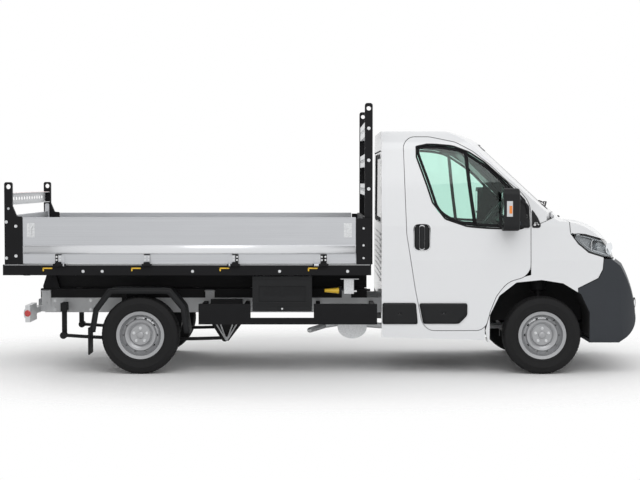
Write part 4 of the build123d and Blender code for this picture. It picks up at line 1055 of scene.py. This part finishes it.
# Behind the cab: a yellow cap on its folded black bracket, and a galvanised
# steel stay, both fixed to the chassis rail.
cap = Piece()
cap.turned([(0.015, -0.066), (0.017, -0.060), (0.026, 0.050), (0.029, 0.052), (0.030, 0.066), (0.027, 0.072)],
           (fx(-1.990), -0.86, 0.782), (1, 0, 0), 32)
cap.done("socket_cap", yellow_enamel, "chassis")
socket = Piece()
socket.block(fx(-1.918), fx(-1.895), -0.895, -0.825, 0.742, 0.822, 0.004)
socket.block(fx(-1.915), fx(-1.898), -0.860, -0.430, 0.760, 0.800, 0.003)
socket.done("socket_bracket", black_enamel, "chassis")
stay = Piece()
stay.block(fx(-1.872), fx(-1.778), -0.885, -0.878, 0.752, 0.890, 0.003)
stay.block(fx(-1.905), fx(-1.730), -0.885, -0.845, 0.890, 0.8965, 0.002)
stay.block(fx(-1.778), fx(-1.750), -0.882, -0.870, 0.770, 0.785, 0.002)
stay.block(fx(-1.845), fx(-1.805), -0.880, -0.435, 0.758, 0.770, 0.003)
stay.rod((fx(-1.825), -0.890, 0.82), (fx(-1.825), -0.882, 0.82), 0.013, 20)
stay.done("cab_stay", zinc, "chassis")

# Fuel tank straps and exhaust: steel bands round the tank, and a bent pipe
# before and behind the silencer with a round elbow at each bend.
straps = Piece()
tank_low, tank_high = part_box("fuel_tank")
for share in (0.2, 0.8):
    x = tank_low.x + share * (tank_high.x - tank_low.x)
    bottom = tank_low.z
    straps.block(x - 0.02, x + 0.02, tank_low.y - 0.003, tank_high.y + 0.003,
                 bottom - 0.003, bottom + 0.001, 0.001)
    for y, way in ((tank_low.y, -1), (tank_high.y, 1)):
        straps.block(x - 0.02, x + 0.02, y + way * 0.003, y - way * 0.001,
                     bottom + 0.035, tank_high.z - 0.03, 0.001)
straps.done("tank_straps", black_enamel, "chassis", "chassis_paint")
front_run = [(-0.05, -0.20, 0.40), (-0.60, -0.42, 0.395), (-1.40, -0.45, 0.40), (-1.66, -0.45, 0.42)]
tail_run = [(-1.925, -0.36, 0.42), (-2.05, -0.36, 0.40), (-2.20, -0.52, 0.37)]
exhaust = Piece()
for run, radius, waist in ((front_run, 0.028, 0.020), (tail_run, 0.026, 0.019)):
    points = [(fx(x), y, z) for x, y, z in run]
    hip = radius - 0.008
    for a, b in zip(points, points[1:]):
        exhaust.rod(a, b, radius, 20)
        ball = [(0.001, -radius), (waist, -hip), (radius, 0.0), (waist, hip), (0.001, radius)]
        exhaust.turned(ball, b, (1, 0, 0), 20)
exhaust.done("exhaust_pipe", zinc, "chassis")

# Spring hangers: pale cast ribs fan out over each front hanger from the eye
# of its leaf spring, which a bolt goes through.
hanger_cast = Finish("hanger_cast", (0.50, 0.51, 0.52), 0.55).vary(0.08, 20, 0.08)
hangers = Piece()
eye_x = fx(-3.007)
for _, side in hands:
    for way in (-1, 1):
        for share in (1.0, 0.6):
            top = (eye_x + way * 0.100 * share, side * 0.606, 0.440)
            hangers.rod(top, (eye_x + way * 0.016 * share, side * 0.606, 0.300), 0.007, 10)
    hangers.rod((eye_x, side * 0.598, 0.296), (eye_x, side * 0.618, 0.296), 0.018, 24)
    hangers.rod((eye_x, side * 0.598, 0.296), (eye_x, side * 0.630, 0.296), 0.010, 6)
hangers.done("spring_hangers", hanger_cast, "chassis", "suspension_steel")

# Mudflaps: black rubber sheets, moulded with three ribs across and hung from
# the rear mudguards by two bolts each.
flap_marks = Piece()
for _, side in hands:
    for z in (0.24, 0.30, 0.36):
        flap_marks.block(rx(-0.4925), rx(-0.4885), side * 0.80, side * 0.99, z, z + 0.008, 0.001)
    for y in (0.83, 0.95):
        flap_marks.rod((rx(-0.4945), side * y, 0.42), (rx(-0.4885), side * y, 0.42), 0.008, 6)
flap_marks.done("flap_ribs", rubber_seal, "chassis")

# Cab interior: a steering wheel with a leather rim on its column, and dials
# and a screen set in black plastic on the dashboard.
leather = Finish("leather", (0.016, 0.016, 0.017), 0.55)
leather.raise_by(leather.make("ShaderNodeTexVoronoi", {"feature": "DISTANCE_TO_EDGE"},
                              {"Vector": leather.place(), "Scale": 380.0}), 0.3, 0.0005)
leather.vary(0.15, 30, 0.06)
wheel_centre = Vector((fx(-0.290), -0.590, 1.340))
column = Vector((-0.78, 0, 0.62)).normalized()
grip = Piece()
grip_turns = [2 * pi * i / 12 for i in range(12)]
grip.turned([(0.1815 + 0.0145 * cos(a), 0.214 + 0.0155 * sin(a)) for a in grip_turns],
            wheel_centre, column, 56, closed=True)
grip.done("wheel_grip", leather, "chassis")
instruments = Piece()
for y, size in ((-0.67, 0.055), (-0.52, 0.055), (-0.595, 0.030)):
    dial = [(size, -0.004), (size, 0.006), (size * 0.9, 0.008), (size * 0.85, 0.002), (0.001, 0.001)]
    instruments.turned(dial, (fx(-0.312), y, 1.40), (-0.98, 0, 0.20), 28)
instruments.block(fx(-0.335), fx(-0.300), -0.10, 0.14, 1.30, 1.42, 0.004)
instruments.done("instruments", black_plastic, "chassis")

# Seats: foam cushions in dark grey woven cloth, crowned between their seams,
# with sewn channels, on moulded plinths; a bolstered back and a head pad each.
seat_cloth = Finish("seat_cloth", (0.035, 0.037, 0.041), 0.92, Sheen_Weight=0.35)
weave = seat_cloth.make("ShaderNodeTexWave", {"bands_direction": "DIAGONAL"},
                        {"Vector": seat_cloth.place(), "Scale": 170.0, "Distortion": 1.5})
seat_cloth.feed("Base Color", seat_cloth.blend((0.024, 0.025, 0.028), (0.050, 0.053, 0.058), weave))
seat_cloth.raise_by(weave, 0.5, 0.0008)
coat(seat_cloth, "seats")
pad_cuts = 17
channel_depth, channel_width = 0.10, 0.07
seam_depth, seam_width, seam_height = 0.03, 0.12, 0.35


def pad(name, centre, half, lean, channels, fullness=5.0):
    """A stuffed block: crowned faces, soft corners, a seam round it and sewn channels."""
    made = Piece()
    bmesh.ops.create_cube(made.mesh, size=2)
    bmesh.ops.subdivide_edges(made.mesh, edges=made.mesh.edges[:], cuts=pad_cuts, use_grid_fill=True)
    turn = Matrix.Rotation(radians(lean), 3, "Y")
    for vert in made.mesh.verts:
        size = sum(abs(c) ** fullness for c in vert.co) ** (1 / fullness)
        x, y, z = vert.co / size
        near = sum(max(0.0, 1 - abs(abs(y) - line) / channel_width) for line in channels)
        sunk = channel_depth * near if z > 0.4 else 0.0
        at_side = max(abs(x), abs(y)) > 0.8
        seam = seam_depth * max(0.0, 1 - abs(z - seam_height) / seam_width) if at_side else 0.0
        point = Vector((x * half[0] * (1 - seam), y * half[1] * (1 - seam), z * half[2] * (1 - sunk)))
        vert.co = turn @ point + Vector(centre)
    return made.done(name, seat_cloth, "chassis", "seat_fabric", flat_angle=80)


channels = (0.35, 0.66)
for y, name in ((-0.590, "driver"), (0.150, "middle"), (0.640, "outer")):
    cushion = pad(f"seat_cushion_{name}", (fx(-1.035), y, 1.125), (0.245, 0.236, 0.066), -1.5, channels)
    pad(f"seat_back_{name}", (fx(-1.342), y, 1.445), (0.292, 0.232, 0.064), -97, channels)
    pad(f"head_pad_{name}", (fx(-1.405), y, 1.812), (0.088, 0.118, 0.038), -95, (), 4.0)
    base = Piece()
    base.block(fx(-1.315), fx(-0.905), y - 0.215, y + 0.215, 0.735, 1.068, 0.02)
    for reach in (-0.05, 0.05):
        base.rod((fx(-1.400), y + reach, 1.690), (fx(-1.405), y + reach, 1.760), 0.006, 12)
    base.done(f"seat_plinth_{name}", black_plastic, "chassis")
    if name == "driver":
        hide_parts("seats")
